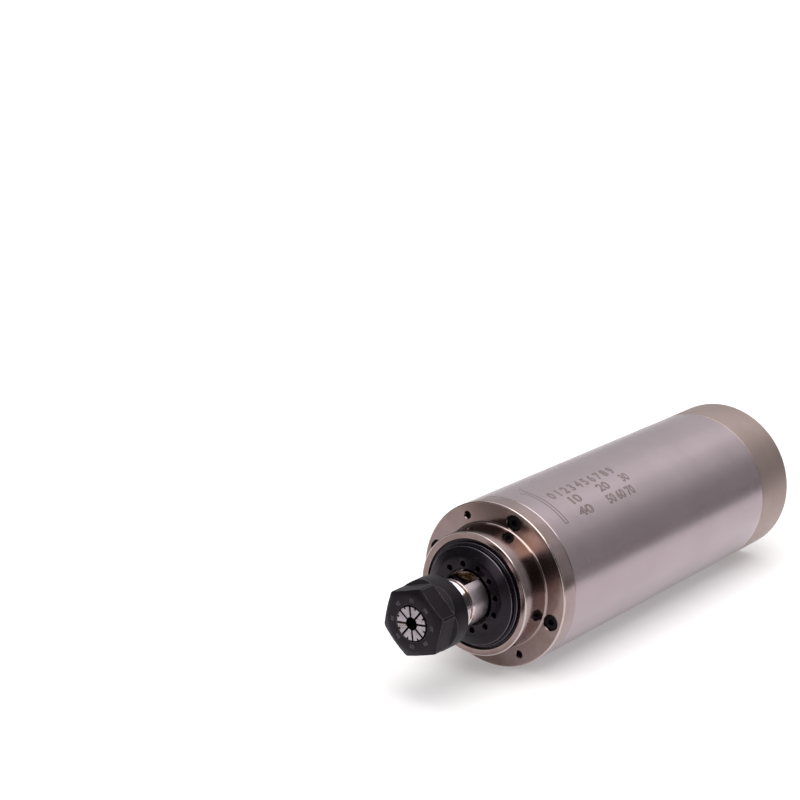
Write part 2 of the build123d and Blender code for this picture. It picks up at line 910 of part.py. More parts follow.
def hose_fitting():
    """Made on the axis: thread, hexagon, threaded neck and barbed nipple, bored through."""
    bore = fitting_bore / 2
    thread = fitting_thread_diameter / 2
    hexagon_back = rear_face - washer_thickness - fitting_hex_length
    neck_end = hexagon_back - fitting_neck_length
    nipple_end = neck_end - nipple_length
    nipple = nipple_diameter / 2
    barb = barb_diameter / 2
    barbs = []
    for n in range(barb_count):
        start = nipple_end + n * barb_pitch
        barbs += [(start, nipple), (start + barb_pitch, barb)]
    body = turned(
        (rear_face + fitting_thread_length, bore),
        (rear_face + fitting_thread_length, thread),
        (hexagon_back, thread),
        (hexagon_back, fitting_neck_diameter / 2),
        (neck_end, fitting_neck_diameter / 2),
        (neck_end, nipple),
        *reversed(barbs),
        (nipple_end, bore),
    )
    hexed = hexagon(fitting_hex, hexagon_back, rear_face - washer_thickness)
    return body + hexed - rods(bore, 0, [0], nipple_end, rear_face)


def hose_nut():
    hexagon_back = rear_face - washer_thickness - fitting_hex_length
    front = hexagon_back - running_gap
    neck = fitting_neck_diameter / 2 + thread_gap
    end = front - hose_nut_length
    outer = hose_nut_diameter / 2
    nut = turned(
        (front, neck),
        (front, outer - seam_bevel),
        (front - seam_bevel, outer),
        (end + 2 * hose_nut_lip, outer),
        (end, outer - hose_nut_lip),
        (end, hose_nut_hole / 2),
        (end + hose_nut_lip, hose_nut_hole / 2),
        (end + hose_nut_lip + neck - hose_nut_hole / 2, neck),
    )
    grip_length = hose_nut_length - 2 * hose_nut_lip
    groove = rods(hose_nut_groove_depth, outer, spaced(hose_nut_grooves), front - grip_length, front)
    return nut - groove


def fitting_washer():
    inner = fitting_thread_diameter / 2 + fit_gap
    return tube(rear_face - washer_thickness, rear_face, inner, fitting_hex / 2)


def connector_shell():
    outer = connector_diameter / 2
    tail_outside = connector_bore / 2 + connector_tail_wall
    collar_front = rear_face + connector_panel
    tail_front = collar_front + connector_collar_length + connector_tail
    return turned(
        (rear_face - connector_reach, connector_bore / 2),
        (rear_face - connector_reach, outer - seam_bevel),
        (rear_face - connector_reach + seam_bevel, outer),
        (collar_front, outer),
        (collar_front, connector_collar_diameter / 2),
        (collar_front + connector_collar_length, connector_collar_diameter / 2),
        (collar_front + connector_collar_length, tail_outside),
        (tail_front, tail_outside),
        (tail_front, connector_bore / 2),
    )


def connector_insert():
    face = rear_face - connector_reach + insert_recess
    back = rear_face + connector_panel + connector_collar_length + connector_tail
    insert = prism(Circle(connector_bore / 2 - fit_gap), face, back)
    return insert - rods(pin_diameter / 2 + fit_gap, pin_circle / 2, pin_angles, face, back)


def connector_pins():
    face = rear_face - connector_reach + insert_recess
    back = rear_face + connector_panel + connector_collar_length + connector_tail
    pins = []
    for angle in pin_angles:
        pin = turned(
            (face - pin_reach, 0),
            (face - pin_reach, pin_diameter / 4),
            (face - pin_reach + pin_diameter / 4, pin_diameter / 2),
            (back + pin_tail, pin_diameter / 2),
            (back + pin_tail, 0),
        )
        pins.append(placed(pin, pin_circle / 2, angle))
    return pins


def connector_lock_nut():
    back = rear_face - connector_nut_length
    thread = connector_diameter / 2 + thread_gap
    return hexagon(connector_nut, back, rear_face) - rods(thread, 0, [0], back, rear_face)


def leads():
    """Leads from the end winding, side by side through the bracket, to the tails of the connector's pins."""
    start = core_back - end_winding_length
    pin_end = rear_face + connector_panel + connector_collar_length + connector_tail + pin_tail
    bend_start = bracket_back - lead_slot_room
    bend_end = pin_end + lead_bend
    spread_y = pin_circle / 2 * cos(radians(pin_angle))
    spread_z = pin_circle / 2 * sin(radians(pin_angle))
    runs = []
    for n in range(pin_count):
        across = (n - (pin_count - 1) / 2) * lead_pitch
        side = 1 if across > 0 else -1
        out = 1 if n in (0, pin_count - 1) else -1
        pin_y = connector_circle / 2 + out * spread_y
        pin_z = side * spread_z
        route = FilletPolyline(
            (start, lead_reach, across),
            (bend_start, lead_reach, across),
            (bend_end, pin_y, pin_z),
            (pin_end, pin_y, pin_z),
            radius=lead_bend,
        )
        runs.append(sweep(Plane(route @ 0, z_dir=route % 0) * Circle(lead_diameter / 2), route))
    return runs


fixed = {
    "outer_housing": outer_housing(),
    "front_bearing_housing": front_bearing_housing(),
    "threaded_cover": threaded_cover(),
    "rear_cap": rear_cap(),
    "flange_screws": flange_screws(),
    "rear_cap_screws": rear_cap_screws(),
    "water_jacket": water_jacket(),
    "jacket_seals": jacket_seals(),
    "spigot_seals": spigot_seals(),
    "stator_core": stator_core(),
    "stator_winding": stator_winding(),
    "rear_bearing_bracket": rear_bearing_bracket(),
    "preload_spring": preload_spring(),
    "front_outer_rings": outer_rings(front_bearing, front_middles),
    "front_outer_spacer": outer_spacer(),
    "rear_outer_rings": outer_rings(rear_bearing, rear_middles),
    "connector_leads": leads(),
}
for name, piece in (
    ("connector_shell", connector_shell()),
    ("connector_insert", connector_insert()),
    ("connector_pins", connector_pins()),
    ("connector_lock_nut", connector_lock_nut()),
):
    pieces = piece if isinstance(piece, list) else [piece]
    fixed[name] = [placed(solid, connector_circle / 2, 0) for solid in pieces]
for name, piece in (
    ("hose_fitting", hose_fitting()),
    ("hose_nut", hose_nut()),
    ("fitting_washer", fitting_washer()),
):
    for side, angle in zip(("inlet", "outlet"), fitting_angles):
        fixed[f"{side}_{name}"] = placed(piece, fitting_reach, angle)

turning = {
    "shaft": shaft(),
    "front_lock_nut": front_lock_nut(),
    "rear_lock_nut": rear_lock_nut(),
    "rotor_core": rotor_core(),
    "rotor_cage": rotor_cage(),
    "balance_rings": balance_rings(),
    "front_inner_rings": inner_rings(front_bearing, front_middles),
    "front_inner_spacer": inner_spacer(),
    "rear_inner_rings": inner_rings(rear_bearing, rear_middles),
    "front_ball_cages": cages(front_bearing, front_middles),
    "front_balls": ball_sets(front_bearing, front_middles),
    "rear_ball_cages": cages(rear_bearing, rear_middles),
    "rear_balls": ball_sets(rear_bearing, rear_middles),
    "collet": collet(),
    "collet_nut": collet_nut(),
}

os.makedirs("parts", exist_ok=True)
for group, angle in ((fixed, clock_angle), (turning, 0)):
    for name, piece in group.items():
        solids = piece if isinstance(piece, list) else [piece]
        solids = [Rot(angle, 0, 0) * solid for solid in solids]
        export_step(Compound(children=solids) if len(solids) > 1 else solids[0], f"parts/{name}.step")
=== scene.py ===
import bmesh
import bpy
import math
from mathutils import Matrix, Vector


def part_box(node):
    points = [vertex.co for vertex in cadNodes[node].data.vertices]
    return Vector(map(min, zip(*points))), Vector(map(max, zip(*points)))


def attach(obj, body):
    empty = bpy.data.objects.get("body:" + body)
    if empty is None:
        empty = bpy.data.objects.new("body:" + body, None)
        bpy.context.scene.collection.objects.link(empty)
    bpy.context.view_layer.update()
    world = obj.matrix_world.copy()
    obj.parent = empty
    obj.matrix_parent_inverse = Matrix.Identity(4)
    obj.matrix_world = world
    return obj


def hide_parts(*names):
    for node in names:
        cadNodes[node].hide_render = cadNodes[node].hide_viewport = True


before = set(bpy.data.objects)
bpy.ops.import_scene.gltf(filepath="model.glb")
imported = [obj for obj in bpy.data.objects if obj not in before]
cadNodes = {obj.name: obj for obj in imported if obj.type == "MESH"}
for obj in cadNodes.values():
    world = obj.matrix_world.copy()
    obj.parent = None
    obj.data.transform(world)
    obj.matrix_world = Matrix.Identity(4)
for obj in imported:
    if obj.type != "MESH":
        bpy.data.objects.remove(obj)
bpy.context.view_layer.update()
mm = 0.001
clock = 26.0  # the fixed parts' turn about the axis, in degrees
shaftFlats = {"angle": 92.6, "reach": 10.0, "length": (19.5, 30.5)}  # where a wrench holds the shaft
colletSlots = {"count": 8, "angle": 6.5, "front": 0.6, "rear": 0.4}
fittingAngles = {"inlet": 157.5 + clock, "outlet": 202.5 + clock}
rearReach = {"fitting": 30.5, "connector": 15.0}  # how far out the pieces in the rear cap stand


def arcPoints(x, r, radius, fromAngle, toAngle, steps=6):
    # points of a round corner, centred on (x, r)
    turn = (toAngle - fromAngle) / steps
    angles = [math.radians(fromAngle + turn * n) for n in range(steps + 1)]
    return [(x + radius * math.cos(a), r + radius * math.sin(a)) for a in angles]


def newObject(name, mesh):
    made = bpy.data.objects.new(name, mesh)
    bpy.context.scene.collection.objects.link(made)
    return made


def fromBmesh(name, bm):
    mesh = bpy.data.meshes.new(name)
    bm.to_mesh(mesh)
    bm.free()
    return newObject(name, mesh)


def lathe(name, outline, segments=160, flute=None):
    # turns a closed outline of (x, radius) in millimetres about the X axis
    bm = bmesh.new()
    rings = []
    for x, r in outline:
        if r < 1e-6:
            rings.append([bm.verts.new((x * mm, 0, 0))])
            continue
        ring = []
        for n in range(segments):
            a = 2 * math.pi * n / segments
            reach = (r - (flute(x, r, a) if flute else 0)) * mm
            ring.append(bm.verts.new((x * mm, reach * math.cos(a), reach * math.sin(a))))
        rings.append(ring)
    for near, far in zip(rings, rings[1:] + rings[:1]):
        if len(near) == 1 and len(far) == 1:
            continue
        for n in range(segments):
            m = (n + 1) % segments
            corners = [near[n % len(near)], near[m % len(near)], far[m % len(far)], far[n % len(far)]]
            bm.faces.new(list(dict.fromkeys(corners)))
    bmesh.ops.recalc_face_normals(bm, faces=bm.faces)
    return fromBmesh(name, bm)


def prism(name, nearEnd, farEnd):
    # a solid between two flat outlines with as many corners, in millimetres
    bm = bmesh.new()
    ends = [[bm.verts.new((x * mm, y * mm, z * mm)) for x, y, z in end] for end in (nearEnd, farEnd)]
    bm.faces.new(ends[0])
    bm.faces.new(ends[1])
    for n in range(len(nearEnd)):
        m = (n + 1) % len(nearEnd)
        bm.faces.new([ends[0][n], ends[0][m], ends[1][m], ends[1][n]])
    bmesh.ops.recalc_face_normals(bm, faces=bm.faces)
    return fromBmesh(name, bm)


def prismAlong(name, corners, fromX, toX):
    # an outline across the axis, drawn out along X
    return prism(name, [(fromX, y, z) for y, z in corners], [(toX, y, z) for y, z in corners])


def slabAlong(name, low, high, half, fromX, toX):
    # a flat bar beside the axis, from low to high along y and half its width each way
    return prismAlong(name, [(low, -half), (high, -half), (high, half), (low, half)], fromX, toX)


def polygon(count, radius, turn=0.0):
    angles = [math.radians(turn + 360 * n / count) for n in range(count)]
    return [(radius * math.cos(a), radius * math.sin(a)) for a in angles]


def rod(name, radius, fromX, toX, sides=40):
    return prismAlong(name, polygon(sides, radius), fromX, toX)


def moveTo(piece, reach, angle):
    # a piece made on the axis goes out to its own place
    a = math.radians(angle)
    piece.data.transform(Matrix.Translation((0, reach * mm * math.cos(a), reach * mm * math.sin(a))))
    return piece


def turned(piece, angle):
    piece.data.transform(Matrix.Rotation(math.radians(angle), 4, "X"))
    return piece


def plainMesh(drawn):
    # the mesh that an object shows with its modifiers, or as a curve
    bpy.context.view_layer.update()
    return bpy.data.meshes.new_from_object(drawn.evaluated_get(bpy.context.evaluated_depsgraph_get()))


def bakeModifiers(piece):
    mesh = plainMesh(piece)
    piece.modifiers.clear()
    old = piece.data
    piece.data = mesh
    mesh.name = piece.name
    bpy.data.meshes.remove(old)
    return piece


def joined(name, parts):
    # several meshes become one
    bm = bmesh.new()
    for part in parts:
        bm.from_mesh(part.data)
        bpy.data.objects.remove(part)
    return fromBmesh(name, bm)


def carve(piece, cutters, operation="DIFFERENCE"):
    tool = joined(piece.name + "Cutter", cutters)
    boolean = piece.modifiers.new("carve", "BOOLEAN")
    boolean.operation = operation
    boolean.solver = "EXACT"
    boolean.use_self = len(cutters) > 1
    boolean.object = tool
    bakeModifiers(piece)
    bpy.data.objects.remove(tool)
    return piece


def softenEdges(piece, width, segments=2, angle=34):
    # rounds the sharp edges, and notes the rounds in an attribute that a finish may paint lighter, as wear
    # and a painted highlight
    mesh = piece.data
    mesh.materials.clear()
    mesh.materials.append(None)
    mesh.materials.append(None)
    bevel = piece.modifiers.new("edges", "BEVEL")
    bevel.material = 1
    bevel.width = width * mm
    bevel.segments = segments
    bevel.limit_method = "ANGLE"
    bevel.angle_limit = math.radians(angle)
    bevel.use_clamp_overlap = True
    bevel.miter_outer = "MITER_ARC"
    bakeModifiers(piece)
    worn = piece.data.attributes.new("worn", "FLOAT", "FACE")
    for face, value in zip(piece.data.polygons, worn.data):
        value.value = float(face.material_index == 1)
    return piece


def smooth(piece, angle=32):
    piece.data.shade_smooth()
    piece.data.set_sharp_from_angle(angle=math.radians(angle))
    return piece


def fit(piece, finish, body, slot, *replaced):
    # the last step of every piece: its finish, its body and the solid it stands for
    piece.data.materials.clear()
    piece.data.materials.append(finish)
    for face in piece.data.polygons:
        face.material_index = 0
    smooth(piece)
    if replaced:
        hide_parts(*replaced)
    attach(piece, body)
    return piece


def nodeIn(tree, kind, links=None, **settings):
    node = tree.nodes.new(kind)
    for key, value in settings.items():
        setattr(node, key, value)
    for key, value in (links or {}).items():
        if isinstance(value, bpy.types.NodeSocket):
            tree.links.new(value, node.inputs[key])
        else:
            node.inputs[key].default_value = value
    return node


def startTree(name, inputs):
    # a geometry tree with named inputs, each with a kind and a value
    tree = bpy.data.node_groups.new(name, "GeometryNodeTree")
    tree.interface.new_socket(name="Geometry", in_out="OUTPUT", socket_type="NodeSocketGeometry")
    ids = {}
    for title, (kind, value) in inputs.items():
        made = tree.interface.new_socket(name=title, in_out="INPUT", socket_type="NodeSocket" + kind)
        if value is not None:
            made.default_value = value
        ids[title] = made.identifier
    return tree, ids, nodeIn(tree, "NodeGroupInput").outputs


def endTree(tree, geometry, finish):
    # ends in one plain mesh with its finish
    real = nodeIn(tree, "GeometryNodeRealizeInstances", {"Geometry": geometry})
    painted = nodeIn(tree, "GeometryNodeSetMaterial", {"Geometry": real.outputs[0], "Material": finish})
    nodeIn(tree, "NodeGroupOutput", {0: painted.outputs[0]})


def ringTree():
    # copies of one part, evenly round the axis
    tree, ids, source = startTree("ringOfCopies", {
        "Part": ("Object", None), "Copies": ("Int", 4), "Reach": ("Float", 0.01), "Turn": ("Float", 0.0),
        "Wander": ("Float", 0.0), "Finish": ("Material", None),
    })
    circle = nodeIn(tree, "GeometryNodeMeshCircle",
                    {"Vertices": source["Copies"], "Radius": source["Reach"]})
    upright = nodeIn(tree, "GeometryNodeTransform",
                     {"Geometry": circle.outputs[0], "Rotation": (math.pi / 2, 0, math.pi / 2)})
    turn = nodeIn(tree, "ShaderNodeCombineXYZ", {"X": source["Turn"]})
    placed = nodeIn(tree, "GeometryNodeTransform",
                    {"Geometry": upright.outputs[0], "Rotation": turn.outputs[0]})
    part = nodeIn(tree, "GeometryNodeObjectInfo", {"Object": source["Part"]})
    spin = nodeIn(tree, "FunctionNodeRandomValue", {"Max": source["Wander"], "Seed": 7}, data_type="FLOAT")
    spun = nodeIn(tree, "ShaderNodeCombineXYZ", {"X": spin.outputs[1]})
    copies = nodeIn(tree, "GeometryNodeInstanceOnPoints", {
        "Points": placed.outputs[0], "Instance": part.outputs["Geometry"], "Rotation": spun.outputs[0],
    })
    endTree(tree, copies.outputs[0], source["Finish"])
    return tree, ids


def threadTree():
    # one ridge wound round the axis, for a screw thread
    tree, ids, source = startTree("threadRidge", {
        "Pitch": ("Float", 0.001), "Turns": ("Float", 5.0),
        "Crest": ("Float", 0.01), "Depth": ("Float", 0.0006),
        "Finish": ("Material", None),
    })
    middle = nodeIn(tree, "ShaderNodeMath", {0: source["Crest"], 1: source["Depth"]}, operation="SUBTRACT")
    height = nodeIn(tree, "ShaderNodeMath", {0: source["Pitch"], 1: source["Turns"]}, operation="MULTIPLY")
    spiral = nodeIn(tree, "GeometryNodeCurveSpiral", {
        "Resolution": 72, "Rotations": source["Turns"], "Start Radius": middle.outputs[0],
        "End Radius": middle.outputs[0], "Height": height.outputs[0],
    })
    upright = nodeIn(tree, "GeometryNodeSetCurveNormal", {"Curve": spiral.outputs[0]}, mode="Z_UP")
    section = nodeIn(tree, "GeometryNodeCurvePrimitiveCircle", {"Resolution": 4, "Radius": source["Depth"]})
    ridge = nodeIn(tree, "GeometryNodeCurveToMesh",
                   {"Curve": upright.outputs[0], "Profile Curve": section.outputs[0], "Fill Caps": True})
    laid = nodeIn(tree, "GeometryNodeTransform",
                  {"Geometry": ridge.outputs[0], "Rotation": (0, math.pi / 2, 0)})
    endTree(tree, laid.outputs[0], source["Finish"])
    return tree, ids


ringNodes, ringIds = ringTree()
threadNodes, threadIds = threadTree()


def throughTree(name, tree, ids, values):
    # runs a tree on an empty mesh and keeps the result as a plain one
    piece = newObject(name, bpy.data.meshes.new(name))
    modifier = piece.modifiers.new("nodes", "NODES")
    modifier.node_group = tree
    for title, value in values.items():
        modifier[ids[title]] = value
    return bakeModifiers(piece)


def ringOf(name, part, copies, reach, turn, finish, wander=0.0):
    made = throughTree(name, ringNodes, ringIds, {
        "Part": part, "Copies": copies, "Reach": reach * mm, "Turn": math.radians(turn), "Wander": wander,
        "Finish": finish,
    })
    bpy.data.objects.remove(part)
    return made


def threadRidge(name, fromX, toX, crest, pitch, depth, finish):
    made = throughTree(name, threadNodes, threadIds, {
        "Pitch": pitch * mm, "Turns": (toX - fromX) / pitch, "Crest": crest * mm, "Depth": depth * mm,
        "Finish": finish,
    })
    made.data.transform(Matrix.Translation((fromX * mm, 0, 0)))
    return made


class Line:
    # one output of a shader tree, with arithmetic
    def __init__(self, tree, socket):
        self.tree = tree
        self.socket = socket

    def maths(self, operation, other=0.0, first=None):
        a = self if first is None else first
        node = self.tree.nodes.new("ShaderNodeMath")
        node.operation = operation
        for slot, value in zip(node.inputs, (a, other)):
            if isinstance(value, Line):
                self.tree.links.new(value.socket, slot)
            else:
                slot.default_value = value
        return Line(self.tree, node.outputs[0])

    def __add__(self, other):
        return self.maths("ADD", other)

    __radd__ = __add__

    def __mul__(self, other):
        return self.maths("MULTIPLY", other)

    __rmul__ = __mul__

    def __sub__(self, other):
        return self.maths("SUBTRACT", other)

    def __rsub__(self, other):
        return self.maths("SUBTRACT", self, first=other)

    def __truediv__(self, other):
        return self.maths("DIVIDE", other)

    def __pow__(self, other):
        return self.maths("POWER", other)

    def clamp(self):
        return self.maths("MINIMUM", 1.0).maths("MAXIMUM", 0.0)

    def between(self, low, high):
        # 0 below low and 1 above high
        return ((self - low) / (high - low)).clamp()


class Shading:
    # a shader tree under way
    def __init__(self, tree):
        self.tree = tree

    def node(self, kind, settings=None, values=None):
        made = self.tree.nodes.new(kind)
        for key, value in (settings or {}).items():
            if key == "stops":
                self.setStops(made.color_ramp, value)
            else:
                setattr(made, key, value)
        for key, value in (values or {}).items():
            if isinstance(value, Line):
                self.tree.links.new(value.socket, made.inputs[key])
            else:
                made.inputs[key].default_value = value
        return made

    def setStops(self, ramp, stops):
        ramp.interpolation = "EASE"
        for n, (position, color) in enumerate(stops):
            element = ramp.elements[n] if n < 2 else ramp.elements.new(position)
            element.position = position
            element.color = color

    def line(self, node, output=0):
        return Line(self.tree, node.outputs[output])

    def apart(self, vector):
        # the three parts of a vector
        node = self.node("ShaderNodeSeparateXYZ", {}, {"Vector": vector})
        return [self.line(node, n) for n in range(3)]

    def mix(self, factor, a, b):
        # a colour between a and b, each a line or three numbers
        a, b = [value if isinstance(value, Line) else (*value, 1) for value in (a, b)]
        return self.line(self.node("ShaderNodeMix", {"data_type": "RGBA"}, {0: factor, 6: a, 7: b}), 2)


class Finish(Shading):
    # a material under way
    def __init__(self, name, color, metallic, roughness, **constants):
        self.material = bpy.data.materials.new(name)
        self.material.use_nodes = True
        super().__init__(self.material.node_tree)
        self.shader = self.tree.nodes["Principled BSDF"]
        self.shader.inputs["Base Color"].default_value = (*color, 1)
        self.shader.inputs["Metallic"].default_value = metallic
        self.shader.inputs["Roughness"].default_value = roughness
        for key, value in constants.items():
            self.shader.inputs[key.replace("_", " ")].default_value = value
        self.place = self.line(self.node("ShaderNodeTexCoord"), "Object")
        self.x, self.y, self.z = self.apart(self.place)

    def vector(self, x, y, z):
        return self.line(self.node("ShaderNodeCombineXYZ", {}, {"X": x, "Y": y, "Z": z}))

    def noise(self, scale, detail=3.0, where=None, roughness=0.55):
        values = {"Scale": scale, "Detail": detail, "Roughness": roughness, "Vector": where or self.place}
        return self.line(self.node("ShaderNodeTexNoise", {}, values))

    def radius(self):
        return (self.y * self.y + self.z * self.z) ** 0.5

    def angle(self):
        # degrees about the axis, from 0 at +Y through 90 at the top
        return self.z.maths("ARCTAN2", self.y) * (180 / math.pi)

    def attribute(self, name):
        return self.line(self.node("ShaderNodeAttribute", {"attribute_name": name}), 2)

    def patch(self, x, angle, reach, spread):
        # a round spot on the surface, 1 at its middle: x and reach in millimetres, angles in degrees
        across = (self.angle() - angle) / spread
        along = (self.x - x * mm) / (reach * mm)
        return (1 - (across * across + along * along) ** 0.5).clamp()

    def within(self, value, start, end=None):
        # 1 past a soft edge, and up to a second one; an edge is where it begins and ends, in millimetres
        mask = value.between(start[0] * mm, start[1] * mm)
        if end:
            mask = mask * (1 - value.between(end[0] * mm, end[1] * mm))
        return mask

    def set(self, name, value):
        self.tree.links.new(value.socket, self.shader.inputs[name])

    def bump(self, height, distance, strength=1.0):
        values = {"Height": height, "Distance": distance * mm, "Strength": strength}
        self.set("Normal", self.line(self.node("ShaderNodeBump", {}, values)))

    def toolMarks(self, pitch, stretch=0.02):
        # fine rings left by turning: they change along the axis and with the radius only
        rings = self.vector(self.x, self.radius(), (self.y + self.z) * stretch)
        return self.noise(1 / (pitch * mm), 4.0, rings, 0.7)


print("helpers ready")


def brushedSleeveFinish():
    look = {"color": (0.514, 0.436, 0.466), "deep": (0.454, 0.381, 0.411), "metallic": 0.94, "roughness": 0.2,
            "fineMarks": 0.14, "broadMarks": 1.4, "cloud": 32, "speck": 900, "depth": 0.02}
    f = Finish("brushedSleeve", look["color"], look["metallic"], look["roughness"])
    marks = f.toolMarks(look["fineMarks"])
    broad = f.toolMarks(look["broadMarks"], 0.2)
    cloud = f.noise(look["cloud"], 3)
    specks = f.noise(look["speck"], 1).between(0.76, 0.82) * 0.5
    shade = cloud * 0.5 + marks * 0.3 + broad * 0.2 - specks * 0.4
    f.set("Base Color", f.mix(shade.between(0.35, 0.65), look["deep"], look["color"]))
    f.set("Roughness", look["roughness"] + cloud * 0.06 + specks * 0.15)
    f.bump(marks + broad * 2.0, look["depth"])
    return f.material


def nickelFinish():
    look = {
        # the two face colours are painted shade for the front faces
        "color": (0.45, 0.36, 0.36), "worn": (0.37, 0.285, 0.275), "face": (0.31, 0.24, 0.232),
        "shadedFaceWorn": (0.25, 0.18, 0.165), "stain": (0.40, 0.28, 0.21), "darkReflection": (0.05, 0.03, 0.024),
        # the edge colour is a painted highlight for the two front edges
        "edge": (0.62, 0.53, 0.51), "roughness": 0.07, "marks": 0.22, "depth": 0.02, "cloud": 70,
        "smear": 24,
        # spots: the place along the axis, the angle, the reach along the axis and the spread in degrees
        # the two dark spots and the near-black colour above are a painted dark reflection
        "topDarkReflection": (0.0, 82.0, 4.0, 40.0), "sideDarkReflection": (8.0, 26.0, 16.0, 30.0),
        "oilTint": (2.0, 52.0, 6.0, 15.0),
        # where each area starts and ends, along the axis or out from it
        "flangeFace": ((-0.4, -0.1), (0.3, 1.0)), "flangeRing": (30.0, 30.8), "bossFace": (15.4, 15.7),
        "boss": ((1.6, 3.0), (14.9, 15.1)), "bossRing": (29.2, 29.4), "rootRing": (28.5, 29.2),
        "flangeHighlight": ((-0.7, -0.6), (0.2, 0.4)), "flangeHighlightRing": (39.3, 39.5),
        "bossHighlight": (15.2, 15.3), "bossHighlightRing": (29.0, 29.1),
    }
    f = Finish("nickelPlate", look["color"], 1.0, look["roughness"])
    reach = f.radius()
    marks = f.toolMarks(look["marks"])
    cloud = f.noise(look["cloud"], 4)
    smear = f.noise(look["smear"], 2)
    plate = f.mix((cloud * 0.6 + smear * 0.4).between(0.4, 0.64), look["worn"], look["color"])
    # the front faces of the flange and the boss are painted darker and browner than the sides: painted shade,
    # for the dark surroundings that they mirror
    flangeFace = f.within(f.x, *look["flangeFace"]) * f.within(reach, look["flangeRing"])
    faces = (flangeFace + f.within(f.x, look["bossFace"])).clamp()
    plate = f.mix(faces, plate, f.mix(cloud.between(0.4, 0.64), look["shadedFaceWorn"], look["face"]))
    # a painted dark reflection lies on top of the flange's face and on the side of the boss
    darkReflection = f.patch(*look["topDarkReflection"]).between(0.0, 0.6) * flangeFace
    darkReflection = darkReflection * (0.4 + smear.between(0.35, 0.65) * 0.3)
    bossSide = f.within(f.x, *look["boss"]) * f.within(reach, look["bossRing"])
    darkReflection = darkReflection + f.patch(*look["sideDarkReflection"]).between(0.0, 0.5) * bossSide * 0.25
    plate = f.mix(darkReflection, plate, look["darkReflection"])
    # the two front edges are painted brighter: a painted highlight
    flangeHighlight = f.within(reach, look["flangeHighlightRing"]) * f.within(f.x, *look["flangeHighlight"])
    bossHighlight = f.within(reach, look["bossHighlightRing"]) * f.within(f.x, look["bossHighlight"])
    plate = f.mix((flangeHighlight + bossHighlight).clamp(), plate, look["edge"])
    # old oil has tinted the root of the boss beside the upper screw
    tint = f.patch(*look["oilTint"]) * f.within(reach, look["rootRing"]) * cloud.between(0.3, 0.6)
    f.set("Base Color", f.mix((tint * 1.1).clamp(), plate, look["stain"]))
    f.set("Roughness", look["roughness"] + marks * 0.05 + cloud.between(0.45, 0.8) * 0.08 + faces * 0.06)
    f.bump(marks * (1 - faces * 0.6), look["depth"])
    return f.material


def blastedFinish():
    look = {"color": (0.46, 0.365, 0.345), "dark": (0.39, 0.305, 0.28), "metallic": 0.9, "roughness": 0.42,
            "grain": 5200, "pits": 1700, "pitRoughness": 0.14, "cloud": 45, "depth": 0.03}
    f = Finish("blastedCap", look["color"], look["metallic"], look["roughness"])
    grain = f.noise(look["grain"], 2)
    pits = f.noise(look["pits"], 3)
    cloud = f.noise(look["cloud"], 3)
    shade = (grain * 0.5 + cloud * 0.5).between(0.35, 0.65)
    f.set("Base Color", f.mix(shade, look["dark"], look["color"]))
    f.set("Roughness", look["roughness"] - 0.06 + pits * look["pitRoughness"])
    f.bump(grain * 0.6 + pits, look["depth"], 0.8)
    return f.material


def blackCoverFinish():
    look = {
        "color": (0.003, 0.0022, 0.0038), "worn": (0.02, 0.018, 0.024), "paintedHighlight": (0.13, 0.12, 0.14),
        "sheen": (1.0, 0.84, 1.0, 1), "roughness": 0.2, "marks": 0.12, "depth": 0.006, "cloud": 160,
        # the two edges with a painted highlight, along the axis and out from it
        "inner": ((18.1, 18.15), (18.6, 18.7)), "innerRing": (23.25, 23.35),
        "outer": (15.8, 15.85), "outerRing": ((24.55, 24.65), (25.0, 25.1)),
    }
    f = Finish("blackCover", look["color"], 0.0, look["roughness"], Specular_IOR_Level=0.27,
               Specular_Tint=look["sheen"])
    marks = f.toolMarks(look["marks"])
    cloud = f.noise(look["cloud"], 4)
    reach = f.radius()
    inner = f.within(reach, look["innerRing"]) * f.within(f.x, *look["inner"])
    outer = f.within(reach, *look["outerRing"]) * f.within(f.x, look["outer"])
    # the two edges are painted lighter and metallic: a painted highlight
    paintedHighlight = (inner + outer).clamp()
    dusty = f.mix(marks.between(0.5, 0.85) * 0.4, look["color"], look["worn"])
    f.set("Base Color", f.mix(paintedHighlight, dusty, look["paintedHighlight"]))
    f.set("Metallic", paintedHighlight * 0.9)
    f.set("Roughness", look["roughness"] + cloud.between(0.4, 0.8) * 0.16 * (1 - paintedHighlight))
    f.bump(marks, look["depth"])
    return f.material


def blackOxideFinish():
    look = {"color": (0.0035, 0.0028, 0.004), "pale": (0.0065, 0.005, 0.0075), "worn": (0.3, 0.27, 0.28),
            "sheen": (1.0, 0.84, 1.0, 1), "roughness": 0.36, "grain": 2600, "cloud": 140, "depth": 0.008}
    f = Finish("blackOxide", look["color"], 0.0, look["roughness"], Specular_IOR_Level=0.22,
               Specular_Tint=look["sheen"])
    grain = f.noise(look["grain"], 3)
    cloud = f.noise(look["cloud"], 4)
    oxide = f.mix((grain * 0.4 + cloud * 0.6).between(0.42, 0.7), look["color"], look["pale"])
    # the rounded edges are painted lighter: wear and a painted highlight
    wearAndHighlight = f.attribute("worn") * (cloud * 0.6 + grain * 0.4).between(0.36, 0.62) * 0.6
    f.set("Base Color", f.mix(wearAndHighlight, oxide, look["worn"]))
    f.set("Roughness", look["roughness"] + cloud * 0.1 - wearAndHighlight * 0.1)
    f.bump(grain, look["depth"])
    return f.material


